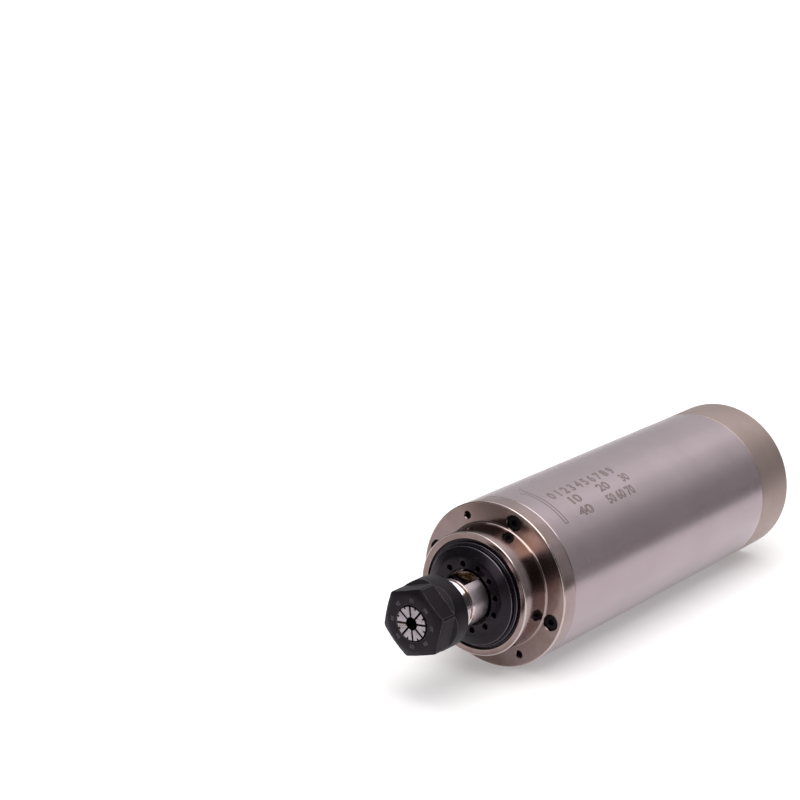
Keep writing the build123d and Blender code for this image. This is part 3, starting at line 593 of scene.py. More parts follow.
def groundSteelFinish():
    look = {
        "color": (0.70, 0.62, 0.65), "oil": (0.26, 0.15, 0.035), "dark": (0.06, 0.04, 0.025),
        "roughness": 0.09, "neckRoughness": 0.2, "marks": 0.06, "patches": 330, "depth": 0.006,
        "flatReach": (9.92, 9.97), "flat": ((19.4, 19.5), (30.5, 30.6)), "nearCover": (21.2, 23.6),
        "rim": (20.3, 21.2), "groove": ((31.8, 32.2), (33.1, 33.5)), "neck": ((20.0, 20.4), (30.0, 31.0)),
    }
    f = Finish("groundSteel", look["color"], 1.0, look["roughness"])
    marks = f.toolMarks(look["marks"])
    patches = f.noise(look["patches"], 4)
    side = math.radians(shaftFlats["angle"])
    across = (f.y * math.cos(side) + f.z * math.sin(side)).maths("ABSOLUTE")
    flats = f.within(across, look["flatReach"]) * f.within(f.x, *look["flat"])
    # a film of old oil lies on the flats beside the cover and in the groove behind the nut
    nearCover = flats * (1 - f.within(f.x, look["nearCover"])) + (1 - f.within(f.x, look["rim"])) * 0.7
    nearNut = f.within(f.x, *look["groove"])
    film = ((nearCover + nearNut).clamp() * patches.between(0.36, 0.6)).clamp()
    crust = nearCover * patches.between(0.6, 0.66) * 0.5
    f.set("Base Color", f.mix(crust, f.mix(film, look["color"], look["oil"]), look["dark"]))
    neck = f.within(f.x, *look["neck"]) * (1 - flats)
    f.set("Roughness", look["roughness"] + film * 0.16 + neck * look["neckRoughness"])
    f.bump(marks * (1 - flats), look["depth"])
    return f.material


def colletSteelFinish():
    look = {
        "color": (0.44, 0.395, 0.43), "dull": (0.27, 0.235, 0.25), "oil": (0.16, 0.09, 0.04),
        # the near-black colour is painted shade for the slots, the notches, the bore and the outer cone
        "paintedShade": (0.006, 0.005, 0.006), "metallic": 0.85, "roughness": 0.34, "marks": 0.1, "cloud": 520,
        "depth": 0.02, "slot": (0.48, 0.52), "notch": (0.42, 0.46), "notchRing": (6.9, 7.0),
        "rim": (7.75, 7.9), "bore": (3.02, 3.06), "oilSpot": (62.1, -160.0, 2.0, 24.0), "oilDots": 1500,
    }
    f = Finish("colletSteel", look["color"], look["metallic"], look["roughness"])
    reach = f.radius()
    marks = f.toolMarks(look["marks"])
    cloud = f.noise(look["cloud"], 4)
    steel = f.mix(cloud.between(0.45, 0.75), look["color"], look["dull"])
    # painted shade darkens the slots, the notches in the rim, the bore and the collet out past the rim of its
    # face
    step = 360 / colletSlots["count"]
    turns = (f.angle() - colletSlots["angle"]) / step
    off = (turns - turns.maths("ROUND")).maths("ABSOLUTE") * math.radians(step)
    inSlot = 1 - f.within(off * reach, look["slot"])
    inNotch = 1 - f.within((math.radians(step / 2) - off) * reach, look["notch"])
    paintedShade = inSlot + inNotch * f.within(reach, look["notchRing"]) + f.within(reach, look["rim"])
    bore = 1 - f.within(reach, look["bore"])
    steel = f.mix((paintedShade + bore).clamp(), steel, look["paintedShade"])
    # a few small dots of oil on one of the jaws
    dots = f.patch(*look["oilSpot"]).between(0.1, 0.4) * f.noise(look["oilDots"], 1).between(0.52, 0.6)
    f.set("Base Color", f.mix(dots, steel, look["oil"]))
    f.set("Roughness", look["roughness"] + cloud * 0.15)
    f.bump(marks, look["depth"])
    return f.material


def etchedFinish():
    look = {"color": (0.085, 0.05, 0.036), "pale": (0.15, 0.10, 0.08), "roughness": 0.6,
            "speckle": 3000, "depth": 0.01}
    f = Finish("etchedMark", look["color"], 0.0, look["roughness"])
    speckle = f.noise(look["speckle"], 2)
    f.set("Base Color", f.mix(speckle.between(0.4, 0.7), look["color"], look["pale"]))
    f.bump(speckle, look["depth"], 0.5)
    return f.material


def plainMetalFinish(name, color, roughness, grain=0.15, metallic=1.0, **constants):
    look = {"cloud": 200, "shade": 0.72, "depth": 0.006}
    f = Finish(name, color, metallic, roughness, **constants)
    marks = f.toolMarks(grain)
    cloud = f.noise(look["cloud"], 3)
    dark = tuple(c * look["shade"] for c in color)
    f.set("Base Color", f.mix(cloud.between(0.35, 0.7), dark, color))
    f.set("Roughness", roughness + marks * 0.08)
    f.bump(marks, look["depth"], 0.6)
    return f.material


def mouldedFinish(name, color, roughness):
    look = {"grain": 2400, "cloud": 120, "light": 1.35, "depth": 0.008}
    f = Finish(name, color, 0.0, roughness)
    speck = f.noise(look["grain"], 3)
    cloud = f.noise(look["cloud"], 2)
    light = tuple(min(1, c * look["light"] + 0.004) for c in color)
    f.set("Base Color", f.mix((speck * 0.4 + cloud * 0.6).between(0.4, 0.7), color, light))
    f.set("Roughness", roughness + speck * 0.1)
    f.bump(speck, look["depth"], 0.5)
    return f.material


def laminationFinish():
    look = {"color": (0.34, 0.34, 0.36), "gap": (0.18, 0.18, 0.19), "roughness": 0.4, "depth": 0.05,
            "wave": 12566.0}  # radians in a metre, so that a sheet is half a millimetre
    f = Finish("laminations", look["color"], 0.9, look["roughness"])
    sheets = (f.x * look["wave"]).maths("SINE") * 0.5 + 0.5
    f.set("Base Color", f.mix(sheets, look["gap"], look["color"]))
    f.bump(sheets, look["depth"], 0.7)
    return f.material


def windingFinish():
    look = {"color": (0.62, 0.29, 0.12), "dark": (0.30, 0.11, 0.04), "roughness": 0.35, "varnish": 0.15,
            "strand": 1500, "depth": 0.25}
    f = Finish("copperWire", look["color"], 0.8, look["roughness"], Coat_Roughness=look["varnish"])
    strands = f.noise(look["strand"], 2, f.vector(f.x * 0.15, f.y, f.z))
    f.set("Base Color", f.mix(strands.between(0.35, 0.65), look["dark"], look["color"]))
    f.set("Coat Weight", strands * 0.6)
    f.bump(strands, look["depth"], 0.8)
    return f.material


brushedSleeve = brushedSleeveFinish()
nickelPlate = nickelFinish()
blastedCap = blastedFinish()
blackCover = blackCoverFinish()
blackOxide = blackOxideFinish()
groundSteel = groundSteelFinish()
colletSteel = colletSteelFinish()
etchedMark = etchedFinish()
paleMark = mouldedFinish("paleMark", (0.045, 0.04, 0.045), 0.5)
screwBlack = plainMetalFinish("screwBlack", (0.004, 0.003, 0.004), 0.4, 0.2, 0.0, Specular_IOR_Level=0.14)
machinedAluminium = plainMetalFinish("machinedAluminium", (0.62, 0.62, 0.63), 0.28)
castAluminium = plainMetalFinish("castAluminium", (0.55, 0.55, 0.57), 0.45)
springSteel = plainMetalFinish("springSteel", (0.35, 0.34, 0.34), 0.3)
bearingSteel = plainMetalFinish("bearingSteel", (0.68, 0.68, 0.70), 0.1)
platedBrass = plainMetalFinish("platedBrass", (0.62, 0.60, 0.57), 0.2)
bareBrass = plainMetalFinish("bareBrass", (0.66, 0.47, 0.19), 0.22)
sealRubber = mouldedFinish("sealRubber", (0.012, 0.012, 0.012), 0.55)
leadRubber = mouldedFinish("leadRubber", (0.32, 0.03, 0.02), 0.45)
phenolic = mouldedFinish("phenolic", (0.25, 0.12, 0.05), 0.5)
blackPlastic = mouldedFinish("blackPlastic", (0.014, 0.014, 0.015), 0.42)
redFibre = mouldedFinish("redFibre", (0.30, 0.05, 0.03), 0.65)
laminations = laminationFinish()
copperWire = windingFinish()
print("finishes ready")


body = {"radius": 40.0, "etch": 0.025, "front": -9.0, "rear": -185.7, "bore": 37.5, "bevel": 0.4}


def sleevePiece():
    d = body
    skin = d["radius"] - d["etch"]  # the etched marks stand this much proud of it
    return lathe("brushedSleeve", [
        (d["rear"], d["bore"]),
        (d["front"], d["bore"]),
        (d["front"], skin - d["bevel"]),
        (d["front"] - d["bevel"], skin),
        (d["rear"] + d["bevel"], skin),
        (d["rear"], skin - d["bevel"]),
    ], 224)


fit(sleevePiece(), brushedSleeve, "housing", "brushed_sleeve", "outer_housing")
print("sleeve ready")


marks = {
    "line": 0.18,  # half the width of an etched line
    "arrowLine": 0.24,
    "height": 0.02,  # half its height
    "step": 0.9,  # how often a long stroke is cut
    "fontScale": 1.38,  # the font's size for a figure's height
    "rows": [  # words, start along the axis, angle of the foot, height, length
        ("0 1 2 3 4 5 6 7 8 9", -27.5, 69.2, 5.2, 54.0),
        ("10", -34.0, 59.2, 4.9, 8.0),
        ("20", -59.0, 59.2, 4.9, 9.0),
        ("30", -79.0, 59.2, 4.9, 6.0),
        ("40", -34.0, 48.4, 4.9, 11.0),
        ("50 60 70", -58.0, 48.4, 4.9, 23.0),
    ],
    "arrowFoot": 48.8,
    "arrowNeck": 85.8,
    "arrowInnerNeck": 2.0,
    "arrowBarb": (-17.6, 85.4),
    "arrowTip": (-24.5, 95.3),
    "arrowSides": (-20.3, -22.4),
}


def cutAcross(mesh, step):
    # long strokes are cut every so often along y, or they would sink into the round surface as chords
    bm = bmesh.new()
    bm.from_mesh(mesh)
    low = min(v.co.y for v in bm.verts)
    high = max(v.co.y for v in bm.verts)
    for n in range(1, math.ceil((high - low) / step)):
        everything = bm.verts[:] + bm.edges[:] + bm.faces[:]
        bmesh.ops.bisect_plane(bm, geom=everything, plane_co=(0, low + n * step, 0), plane_no=(0, 1, 0))
    bm.to_mesh(mesh)
    bm.free()


def outlinedText(words, size, line, resolution, align="LEFT"):
    # words drawn as hollow outlines in thin wire
    text = bpy.data.curves.new("number", "FONT")
    text.body = words
    text.size = size * mm
    text.align_x = align
    text.fill_mode = "NONE"
    text.bevel_depth = line * mm
    text.bevel_resolution = 0
    text.resolution_u = resolution
    return newObject("number", text)


def wrapped(drawn, startX, footAngle, line, stretch=1.0):
    # a line drawing is pressed flat and laid round the sleeve: x runs to the rear, y round the axis
    mesh = plainMesh(drawn)
    bpy.data.objects.remove(drawn)
    cutAcross(mesh, marks["step"] * mm)
    for vertex in mesh.vertices:
        u, v, w = vertex.co
        reach = (body["radius"] - marks["height"]) * mm + w * marks["height"] / line
        a = math.radians(footAngle) + v / (body["radius"] * mm)
        vertex.co = (startX * mm - u * stretch, reach * math.cos(a), reach * math.sin(a))
    return newObject("mark", mesh)


def hollowNumber(words, startX, footAngle, height, length):
    drawn = outlinedText(words, height * marks["fontScale"], marks["line"], 5)
    bpy.context.view_layer.update()
    return wrapped(drawn, startX, footAngle, marks["line"], length * mm / drawn.dimensions.x)


def arrowOutline():
    # a hollow arrow that shows which way the shaft turns
    side, other = marks["arrowSides"]
    foot, neck = marks["arrowFoot"], marks["arrowNeck"]
    inner = neck + marks["arrowInnerNeck"]
    steps = 30
    up = [(side, foot + (neck - foot) * n / steps) for n in range(steps + 1)]
    tip = [marks["arrowBarb"], marks["arrowTip"]]
    down = [(other, inner - (inner - foot) * n / steps) for n in range(steps + 1)]
    line = bpy.data.curves.new("arrow", "CURVE")
    line.dimensions = "3D"
    line.bevel_depth = marks["arrowLine"] * mm
    line.bevel_resolution = 0
    points = up + tip + down
    spline = line.splines.new("POLY")
    spline.points.add(len(points) - 1)
    for point, (x, a) in zip(spline.points, points):
        point.co = (-x * mm, math.radians(a) * body["radius"] * mm, 0, 1)
    spline.use_cyclic_u = True
    return wrapped(newObject("arrow", line), 0.0, 0.0, marks["arrowLine"])


sleeveMarks = joined("sleeveMarks", [hollowNumber(*row) for row in marks["rows"]] + [arrowOutline()])
fit(sleeveMarks, etchedMark, "housing", "brushed_sleeve")
print("marks ready")


flange = {
    "radius": 40.0, "back": -9.0, "round": 0.6, "bevel": 0.25, "boss": 29.6, "bossFace": 15.8,
    "bossBevel": 0.45, "bossFillet": 1.2, "bossRoot": 1.6, "mouth": 26.22, "mouthRound": 0.5, "seat": 23.52,
    "lip": 20.3, "spigot": 29.48, "bearingFace": 6.5, "bearingBack": -20.5, "screwReach": 34.1,
    "screwHole": 2.25, "counterbore": 3.8, "counterboreRim": 0.25, "counterboreDepth": 4.6, "clear": 1.15,
    "jackReach": 34.5, "jackHole": 1.7, "jackRim": 0.35,
}


def flangePiece():
    d = flange
    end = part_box("front_bearing_housing")[0].x / mm
    mouthRound, root = d["mouthRound"], d["bossRoot"]
    piece = lathe("nickelFlange", [
        (end, d["lip"]),
        (d["bearingBack"], d["lip"]),
        (d["bearingBack"], d["seat"]),
        (d["bearingFace"], d["seat"]),
        (d["bearingFace"], d["mouth"]),
        (d["bossFace"] - mouthRound, d["mouth"]),
        *arcPoints(d["bossFace"] - mouthRound, d["mouth"] + mouthRound, mouthRound, -90, 0, 3),
        *arcPoints(d["bossFace"] - d["bossBevel"], d["boss"] - d["bossBevel"], d["bossBevel"], 0, 90, 7),
        (root + d["bossFillet"], d["boss"]),
        (root + d["bossFillet"] * 0.5, d["boss"]),
        *arcPoints(d["bossFillet"], d["boss"] + d["bossFillet"], d["bossFillet"], 270, 180, 6),
        *arcPoints(-d["round"], d["radius"] - d["round"], d["round"], 0, 90, 8),
        (d["back"] + d["bevel"], d["radius"]),
        (d["back"], d["radius"] - d["bevel"]),
        (d["back"], d["spigot"]),
        (end, d["spigot"]),
    ], 224)
    # first the screws' through holes, then what opens towards the front
    drills = []
    bores = []
    wide, rim = d["counterbore"], d["counterbore"] + d["counterboreRim"]
    for n in range(4):
        angle = 45 + clock + 90 * n
        drills.append(moveTo(rod("hole", d["screwHole"], d["back"] - 1, 1), d["screwReach"], angle))
        step = lathe("bore", [
            (-d["counterboreDepth"], 0), (-d["counterboreDepth"], wide), (-d["counterboreRim"], wide),
            (0.0, rim), (d["clear"], rim), (d["clear"], 0),
        ], 48)
        bores.append(moveTo(step, d["screwReach"], angle))
    hole, lip = d["jackHole"], d["jackHole"] + d["jackRim"]
    for n in range(2):
        jack = lathe("jack", [
            (d["back"] - 1, 0), (d["back"] - 1, hole), (-d["jackRim"], hole),
            (0.0, lip), (1.0, lip), (1.0, 0),
        ], 36)
        bores.append(moveTo(jack, d["jackReach"], 90 + clock + 180 * n))
    carve(piece, drills)
    return carve(piece, bores)


fit(flangePiece(), nickelPlate, "housing", "plated_flange", "front_bearing_housing")
print("flange ready")


screw = {
    "head": 3.5, "height": 4.0, "shank": 2.0, "socket": 3.0, "socketDepth": 2.0,
    "grip": 36, "gripDepth": 0.09, "gripLength": (0.3, 3.5), "wander": 1.0,
    "flangeLength": 12.9, "capLength": 25.8, "capSeat": -203.0, "capReach": 33.0,
}


def socketScrew(length):
    # its head's seat is at x = 0, and its head points to +X
    d = screw
    top, rim = d["height"], d["head"]
    fromX, toX = d["gripLength"]

    def knurl(x, r, a):
        onGrip = r > rim - 0.05 and fromX < x < toX
        return d["gripDepth"] * (0.5 + 0.5 * math.cos(a * d["grip"])) if onGrip else 0

    head = lathe("screw", [
        (-length, 0),
        (-length, d["shank"] - 0.4),
        (-length + 0.4, d["shank"]),
        (0, d["shank"]),
        (0, rim - 0.15),
        (0.2, rim),
        (0.5, rim),
        (top - 0.6, rim),
        *arcPoints(top - 0.4, rim - 0.4, 0.4, 90, 0, 4),
        (top, d["socket"] * 0.66),
        (top, 0),
    ], 144, knurl)
    corner = d["socket"] / 2 / math.cos(math.pi / 6)
    return carve(head, [prismAlong("key", polygon(6, corner), top - d["socketDepth"], top + 1)])


flangeScrew = socketScrew(screw["flangeLength"])
flangeScrew.data.transform(Matrix.Translation((-flange["counterboreDepth"] * mm, 0, 0)))
flangeScrews = ringOf("flangeScrews", flangeScrew, 4, flange["screwReach"], 45 + clock, screwBlack,
                      screw["wander"])
fit(flangeScrews, screwBlack, "housing", "black_screws", "flange_screws")

capScrew = socketScrew(screw["capLength"])
capScrew.data.transform(Matrix.Rotation(math.pi, 4, "Z"))
capScrew.data.transform(Matrix.Translation((screw["capSeat"] * mm, 0, 0)))
capScrews = ringOf("rearCapScrews", capScrew, 4, screw["capReach"], 45 + clock, screwBlack, screw["wander"])
fit(capScrews, screwBlack, "housing", "black_screws", "rear_cap_screws")
print("screws ready")


cover = {
    "inner": 6.5, "cavity": 20.0, "cavityFace": 14.5, "hole": 13.1, "face": 20.3, "faceReach": 19.4,
    "shoulder": 23.6, "shoulderFace": 18.3, "rim": 24.9, "rimFace": 16.1, "thread": 26.2,
    "threadEnd": 14.7, "spannerHoles": 12, "spannerAngle": 14.0, "spannerReach": 15.7,
    "spannerHole": 1.4, "spannerRim": 0.18, "spannerDepth": 3.2,
}


def coverPiece():
    d = cover
    piece = lathe("blackCover", [
        (d["inner"], d["cavity"]),
        (d["cavityFace"], d["cavity"]),
        (d["cavityFace"], d["hole"]),
        (d["face"] - 0.5, d["hole"]),
        (d["face"], d["hole"] + 0.5),
        (d["face"], d["faceReach"] - 0.25),
        (d["face"] - 0.1, d["faceReach"]),
        (d["shoulderFace"] + 0.15, d["shoulder"] - 0.3),
        *arcPoints(d["shoulderFace"] - 0.2, d["shoulder"] - 0.3, 0.3, 40, 90, 4),
        (d["rimFace"] + 0.35, d["shoulder"] + 0.1),
        (d["rimFace"] + 0.05, d["shoulder"] + 0.45),
        *arcPoints(d["rimFace"] - 0.28, d["rim"] - 0.28, 0.28, 0, 90, 5),
        (d["threadEnd"], d["rim"]),
        (d["threadEnd"], d["thread"]),
        (d["inner"], d["thread"]),
    ], 192)
    hole, lip = d["spannerHole"], d["spannerHole"] + d["spannerRim"]
    drill = lathe("drill", [
        (d["face"] - d["spannerDepth"], 0), (d["face"] - d["spannerDepth"], hole),
        (d["face"] - d["spannerRim"], hole), (d["face"], lip), (d["face"] + 1, lip), (d["face"] + 1, 0),
    ], 28)
    angle = d["spannerAngle"] + clock
    return carve(piece, [ringOf("holes", drill, d["spannerHoles"], d["spannerReach"], angle, blackCover)])


fit(coverPiece(), blackCover, "housing", "black_cover", "threaded_cover")
print("cover ready")


cap = {
    "front": -185.7, "end": -213.0, "radius": 40.0, "bevel": 0.4, "round": 1.6, "wall": 8.0,
    "chamber": 26.48, "bracketBack": -190.7, "recess": 36.02, "counterbore": 3.8, "counterboreRim": 0.3,
    "screwHole": 2.25, "passage": 2.5, "fittingHole": 4.82, "fittingDepth": 7.5, "connectorHole": 8.02,
    "pocket": 9.8,
}


def capPiece():
    d = cap
    piece = lathe("rearCap", [
        (d["end"], 0),
        (d["end"] + d["wall"], 0),
        (d["end"] + d["wall"], d["chamber"]),
        (d["bracketBack"], d["chamber"]),
        (d["bracketBack"], d["recess"]),
        (d["front"], d["recess"]),
        (d["front"], d["radius"] - d["bevel"]),
        *arcPoints(d["front"] - d["bevel"], d["radius"] - d["bevel"], d["bevel"], 20, 90, 4),
        *arcPoints(d["end"] + d["round"], d["radius"] - d["round"], d["round"], 90, 180, 8),
    ], 224)
    wide, rim = d["counterbore"], d["counterbore"] + d["counterboreRim"]
    through = d["bracketBack"] + 1
    narrow = []
    for n in range(4):
        step = lathe("step", [
            (d["end"] - 1, 0), (d["end"] - 1, rim), (d["end"], rim), (d["end"] + d["counterboreRim"], wide),
            (screw["capSeat"], wide), (screw["capSeat"], d["screwHole"]),
            (through, d["screwHole"]), (through, 0),
        ], 40)
        narrow.append(moveTo(step, screw["capReach"], 45 + clock + 90 * n))
    taps = []
    for angle in fittingAngles.values():
        passage = rod("passage", d["passage"], d["end"] + 4, through)
        narrow.append(moveTo(passage, rearReach["fitting"], angle))
        tap = rod("tap", d["fittingHole"], d["end"] - 1, d["end"] + d["fittingDepth"])
        taps.append(moveTo(tap, rearReach["fitting"], angle))
    socket = rod("socket", d["connectorHole"], d["end"] - 1, d["end"] + 9, 64)
    pocket = rod("pocket", d["pocket"], d["end"] + 3, d["end"] + 9, 64)
    carve(piece, narrow)
    carve(piece, [*taps, moveTo(socket, rearReach["connector"], clock)])
    return carve(piece, [moveTo(pocket, rearReach["connector"], clock)])


fit(capPiece(), blastedCap, "housing", "blasted_cap", "rear_cap")
print("rear cap ready")


shaft = {
    "end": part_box("shaft")[0].x / mm, "rearThread": 7.4, "rearThreadTo": -185.3, "rearSeat": 7.5,
    "rearSeatTo": -167.3, "rearShoulder": 9.5, "core": 11.0, "shoulder": 15.0, "shoulderWidth": 5.0,
    "bearingBack": -20.5, "bearingFace": 6.5, "seat": 12.5, "neck": 12.0, "groove": (32.1, 33.3),
    "grooveReach": 11.4, "collar": 33.9, "thread": 12.5, "threadDepth": 0.55, "pitch": 1.5, "nose": 53.57,
    "mouth": 10.37, "taperEnd": 28.6, "taperReach": 6.92, "bore": 6.0, "boreEnd": 10.6, "drillPoint": 4.6,
}


def shaftPiece():
    d = shaft
    root = d["thread"] - d["threadDepth"] * 1.6
    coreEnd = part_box("balance_rings")[0].x / mm
    shoulderBack = d["bearingBack"] - d["shoulderWidth"]
    grooveFrom, grooveTo = d["groove"]
    piece = lathe("spindleShaft", [
        (d["end"], 0),
        (d["end"], d["rearThread"] - 0.6),
        (d["end"] + 0.6, d["rearThread"]),
        (d["rearThreadTo"], d["rearThread"]),
        (d["rearThreadTo"], d["rearSeat"]),
        (d["rearSeatTo"], d["rearSeat"]),
        (d["rearSeatTo"], d["rearShoulder"]),
        (coreEnd, d["rearShoulder"]),
        (coreEnd, d["core"]),
        (shoulderBack, d["core"]),
        (shoulderBack, d["shoulder"]),
        (d["bearingBack"], d["shoulder"]),
        (d["bearingBack"], d["seat"]),
        (d["bearingFace"], d["seat"]),
        (d["bearingFace"], d["neck"]),
        (grooveFrom - 0.25, d["neck"]),
        (grooveFrom, d["neck"] - 0.25),
        (grooveFrom + 0.1, d["grooveReach"]),
        (grooveTo - 0.1, d["grooveReach"]),
        (grooveTo, d["neck"] - 0.25),
        (grooveTo + 0.25, d["neck"]),
        (d["collar"], d["neck"]),
        (d["collar"] + 0.5, root),
        (d["nose"] - 0.6, root),
        (d["nose"], root - 0.6),
        (d["nose"], d["mouth"]),
        (d["taperEnd"], d["taperReach"]),
        (d["taperEnd"], d["bore"]),
        (d["boreEnd"], d["bore"]),
        (d["drillPoint"], 0),
    ], 160)
    sides = []
    for n in range(2):
        slab = slabAlong("flat", shaftFlats["reach"], shaftFlats["reach"] + 8, 14, *shaftFlats["length"])
        sides.append(turned(slab, shaftFlats["angle"] + 180 * n))
    carve(piece, sides)
    softenEdges(piece, 0.12, 2, 40)
    ridge = threadRidge("noseThread", d["collar"] + 0.9, d["nose"] - 0.9, d["thread"], d["pitch"],
                        d["threadDepth"], groundSteel)
    return joined("spindleShaft", [piece, ridge])


fit(shaftPiece(), groundSteel, "rotor", "ground_steel", "shaft")
print("shaft ready")


nut = {
    "back": 41.7, "front": 61.7, "radius": 17.0, "flat": 15.0, "angle": 46.5, "flatFrom": 52.0, "edge": 0.34,
    "faceReach": 13.4, "faceBevel": 1.2, "mouth": 8.6, "thread": 12.56, "threadEnd": 53.97, "teeth": 7,
    "cavity": 11.2, "cavityEnd": 55.37, "lip": 9.28, "seat": 10.58, "seatBack": 56.9, "seatFront": 57.77,
    "numbers": 8, "numberFoot": 10.0, "numberSize": 2.5, "numberLine": 0.1, "numberRise": 0.3,
}


def nutPiece():
    d = nut
    teeth = []
    for n in range(d["teeth"]):  # the thread inside is plain rings
        x = d["back"] + 1.6 + n * shaft["pitch"]
        teeth += [(x, d["thread"] + 0.5), (x + shaft["pitch"] / 2, d["thread"])]
    piece = lathe("colletNut", [
        (d["back"], d["thread"] + 0.9),
        (d["back"] + 0.7, d["thread"] + 0.2),
        *teeth,
        (d["threadEnd"], d["thread"]),
        (d["cavityEnd"], d["cavity"]),
        (d["cavityEnd"] + 0.03, d["lip"] + 0.1),
        (d["seatBack"] - 0.03, d["lip"] + 0.1),
        (d["seatBack"], d["seat"]),
        (d["seatFront"], d["seat"]),
        (d["front"] - 0.25, d["mouth"] - 0.12),
        (d["front"], d["mouth"] + 0.15),
        (d["front"], d["faceReach"] - 0.3),
        (d["front"] - 0.1, d["faceReach"] + 0.1),
        (d["front"] - d["faceBevel"] - 0.1, d["radius"]),
        (d["back"] + 0.7, d["radius"]),
        (d["back"] + 0.15, d["radius"] - 0.4),
        (d["back"], d["radius"] - 0.7),
    ], 180)
    low, high = d["flat"], d["radius"] + 3
    front, back = d["front"] + 1, d["flatFrom"]
    side = [(back, low), (front, low), (front, high), (back - (high - low), high)]  # runs out at 45 degrees
    for n in range(6):
        slab = prism("slab", [(x, y, -12) for x, y in side], [(x, y, 12) for x, y in side])
        carve(piece, [turned(slab, d["angle"] + 60 * n)])
    return softenEdges(piece, d["edge"], 2, 24)


def faceNumbers():
    # plain numbers round the face of the nut
    made = []
    for n in range(nut["numbers"]):
        drawn = outlinedText(str(10 * (n + 1)), nut["numberSize"], nut["numberLine"], 4, "CENTER")
        mesh = plainMesh(drawn)
        bpy.data.objects.remove(drawn)
        for vertex in mesh.vertices:
            u, v, w = vertex.co
            vertex.co = (nut["front"] * mm + w * nut["numberRise"], -u, nut["numberFoot"] * mm + v)
        made.append(turned(newObject("number", mesh), 360 / nut["numbers"] * n))
    return joined("nutNumbers", made)


fit(faceNumbers(), paleMark, "nut", "black_oxide")
fit(nutPiece(), blackOxide, "nut", "black_oxide", "collet_nut")
print("collet nut ready")


collet = {
    "front": 62.1, "back": 30.6, "face": 8.0, "bore": 3.0, "headBack": 57.77, "reach": 10.5,
    "grooveFront": 57.17, "grooveBack": 55.07, "groove": 9.2, "tail": 7.06, "bridge": 5.0, "notch": 0.9,
}


def colletPiece():
    d = collet
    piece = lathe("springCollet", [
        (d["back"], d["bore"]),
        (d["front"] - 0.25, d["bore"]),
        (d["front"], d["bore"] + 0.25),
        (d["front"], d["face"] - 0.1),
        (d["front"] - 0.1, d["face"]),
        (d["headBack"], d["reach"]),
        (d["grooveFront"], d["reach"]),
        (d["grooveFront"], d["groove"]),
        (d["grooveBack"], d["groove"]),
        (d["grooveBack"], d["reach"]),
        (d["back"] + 0.4, d["tail"] + 0.06),
        (d["back"], d["tail"] - 0.4),
    ], 144)
    wide, narrow = colletSlots["front"] / 2, colletSlots["rear"] / 2
    rearStop, frontStop = d["back"] + d["bridge"], d["front"] - d["bridge"]
    # how far out a cut starts, half its width, where it runs and by how much of a step it is turned
    cuts = [
        (0.05, wide, rearStop, d["front"] + 1, 0.0),
        (0.05, narrow, d["back"] - 1, frontStop, 0.5),
        (d["face"] - d["notch"], wide, frontStop - 0.1, d["front"] + 1, 0.5),
    ]
    for n in range(colletSlots["count"]):
        for low, half, fromX, toX, shift in cuts:
            angle = colletSlots["angle"] + 360 / colletSlots["count"] * (n + shift)
            carve(piece, [turned(slabAlong("slot", low, 14, half, fromX, toX), angle)])
    return piece


fit(colletPiece(), colletSteel, "collet", "collet_steel", "collet")
print("collet ready")


hose = {
    "inside": -206.5, "thread": 4.8, "neck": 4.5, "threadDepth": 0.35, "pitch": 0.75, "hex": 6.0,
    "hexCore": 5.9, "hexFrom": -218.0, "hexTo": -214.0, "neckEnd": -224.0, "nipple": 2.6, "barb": 3.0,
    "barbPitch": 3.0, "barbs": 3, "bore": 1.8, "end": -237.0, "ridge": 0.25,
}
gripNut = {
    "front": -218.3, "end": -228.3, "radius": 6.5, "thread": 4.6, "mouth": 4.2, "gripEnd": -224.4, "grip": 20,
    "gripDepth": 0.42,
}


def hoseFitting(name):
    d = hose
    neck = d["neck"] - d["threadDepth"]
    barbs = []
    for n in range(d["barbs"]):
        x, far = d["end"] + n * d["barbPitch"], d["end"] + (n + 1) * d["barbPitch"]
        barbs += [(x, d["nipple"] - 0.25), (far - 0.15, d["barb"]), (far - 0.05, d["nipple"])]
    piece = lathe(name, [
        (d["inside"], d["bore"]),
        (d["inside"], d["thread"]),
        (d["hexTo"], d["thread"]),
        (d["hexTo"], d["hexCore"]),
        (d["hexFrom"], d["hexCore"]),
        (d["hexFrom"], neck),
        (d["neckEnd"], neck),
        (d["neckEnd"], d["nipple"]),
        *reversed(barbs),
        (d["end"], d["bore"] + 0.15),
        (d["end"] + 0.2, d["bore"]),
    ], 72)
    hexBar = prismAlong("hex", polygon(6, d["hex"] / math.cos(math.pi / 6)), d["hexFrom"], d["hexTo"])
    low, high = d["hexFrom"] - 0.01, d["hexTo"] + 0.01
    cone = lathe("cone", [
        (low, 0), (low, d["hex"]), (low + 0.56, d["hex"] + 1), (high - 0.56, d["hex"] + 1), (high, d["hex"]),
        (high, 0),
    ], 72)
    carve(hexBar, [cone], "INTERSECT")
    carve(hexBar, [rod("core", d["thread"] - 0.4, d["hexFrom"] - 1, d["hexTo"] + 1, 72)])
    softenEdges(hexBar, 0.12, 2, 30)
    ridge = threadRidge("ridge", d["neckEnd"] + 0.5, d["hexFrom"] - 0.3, d["neck"], d["pitch"],
                        d["ridge"], platedBrass)
    return joined(name, [piece, hexBar, ridge])


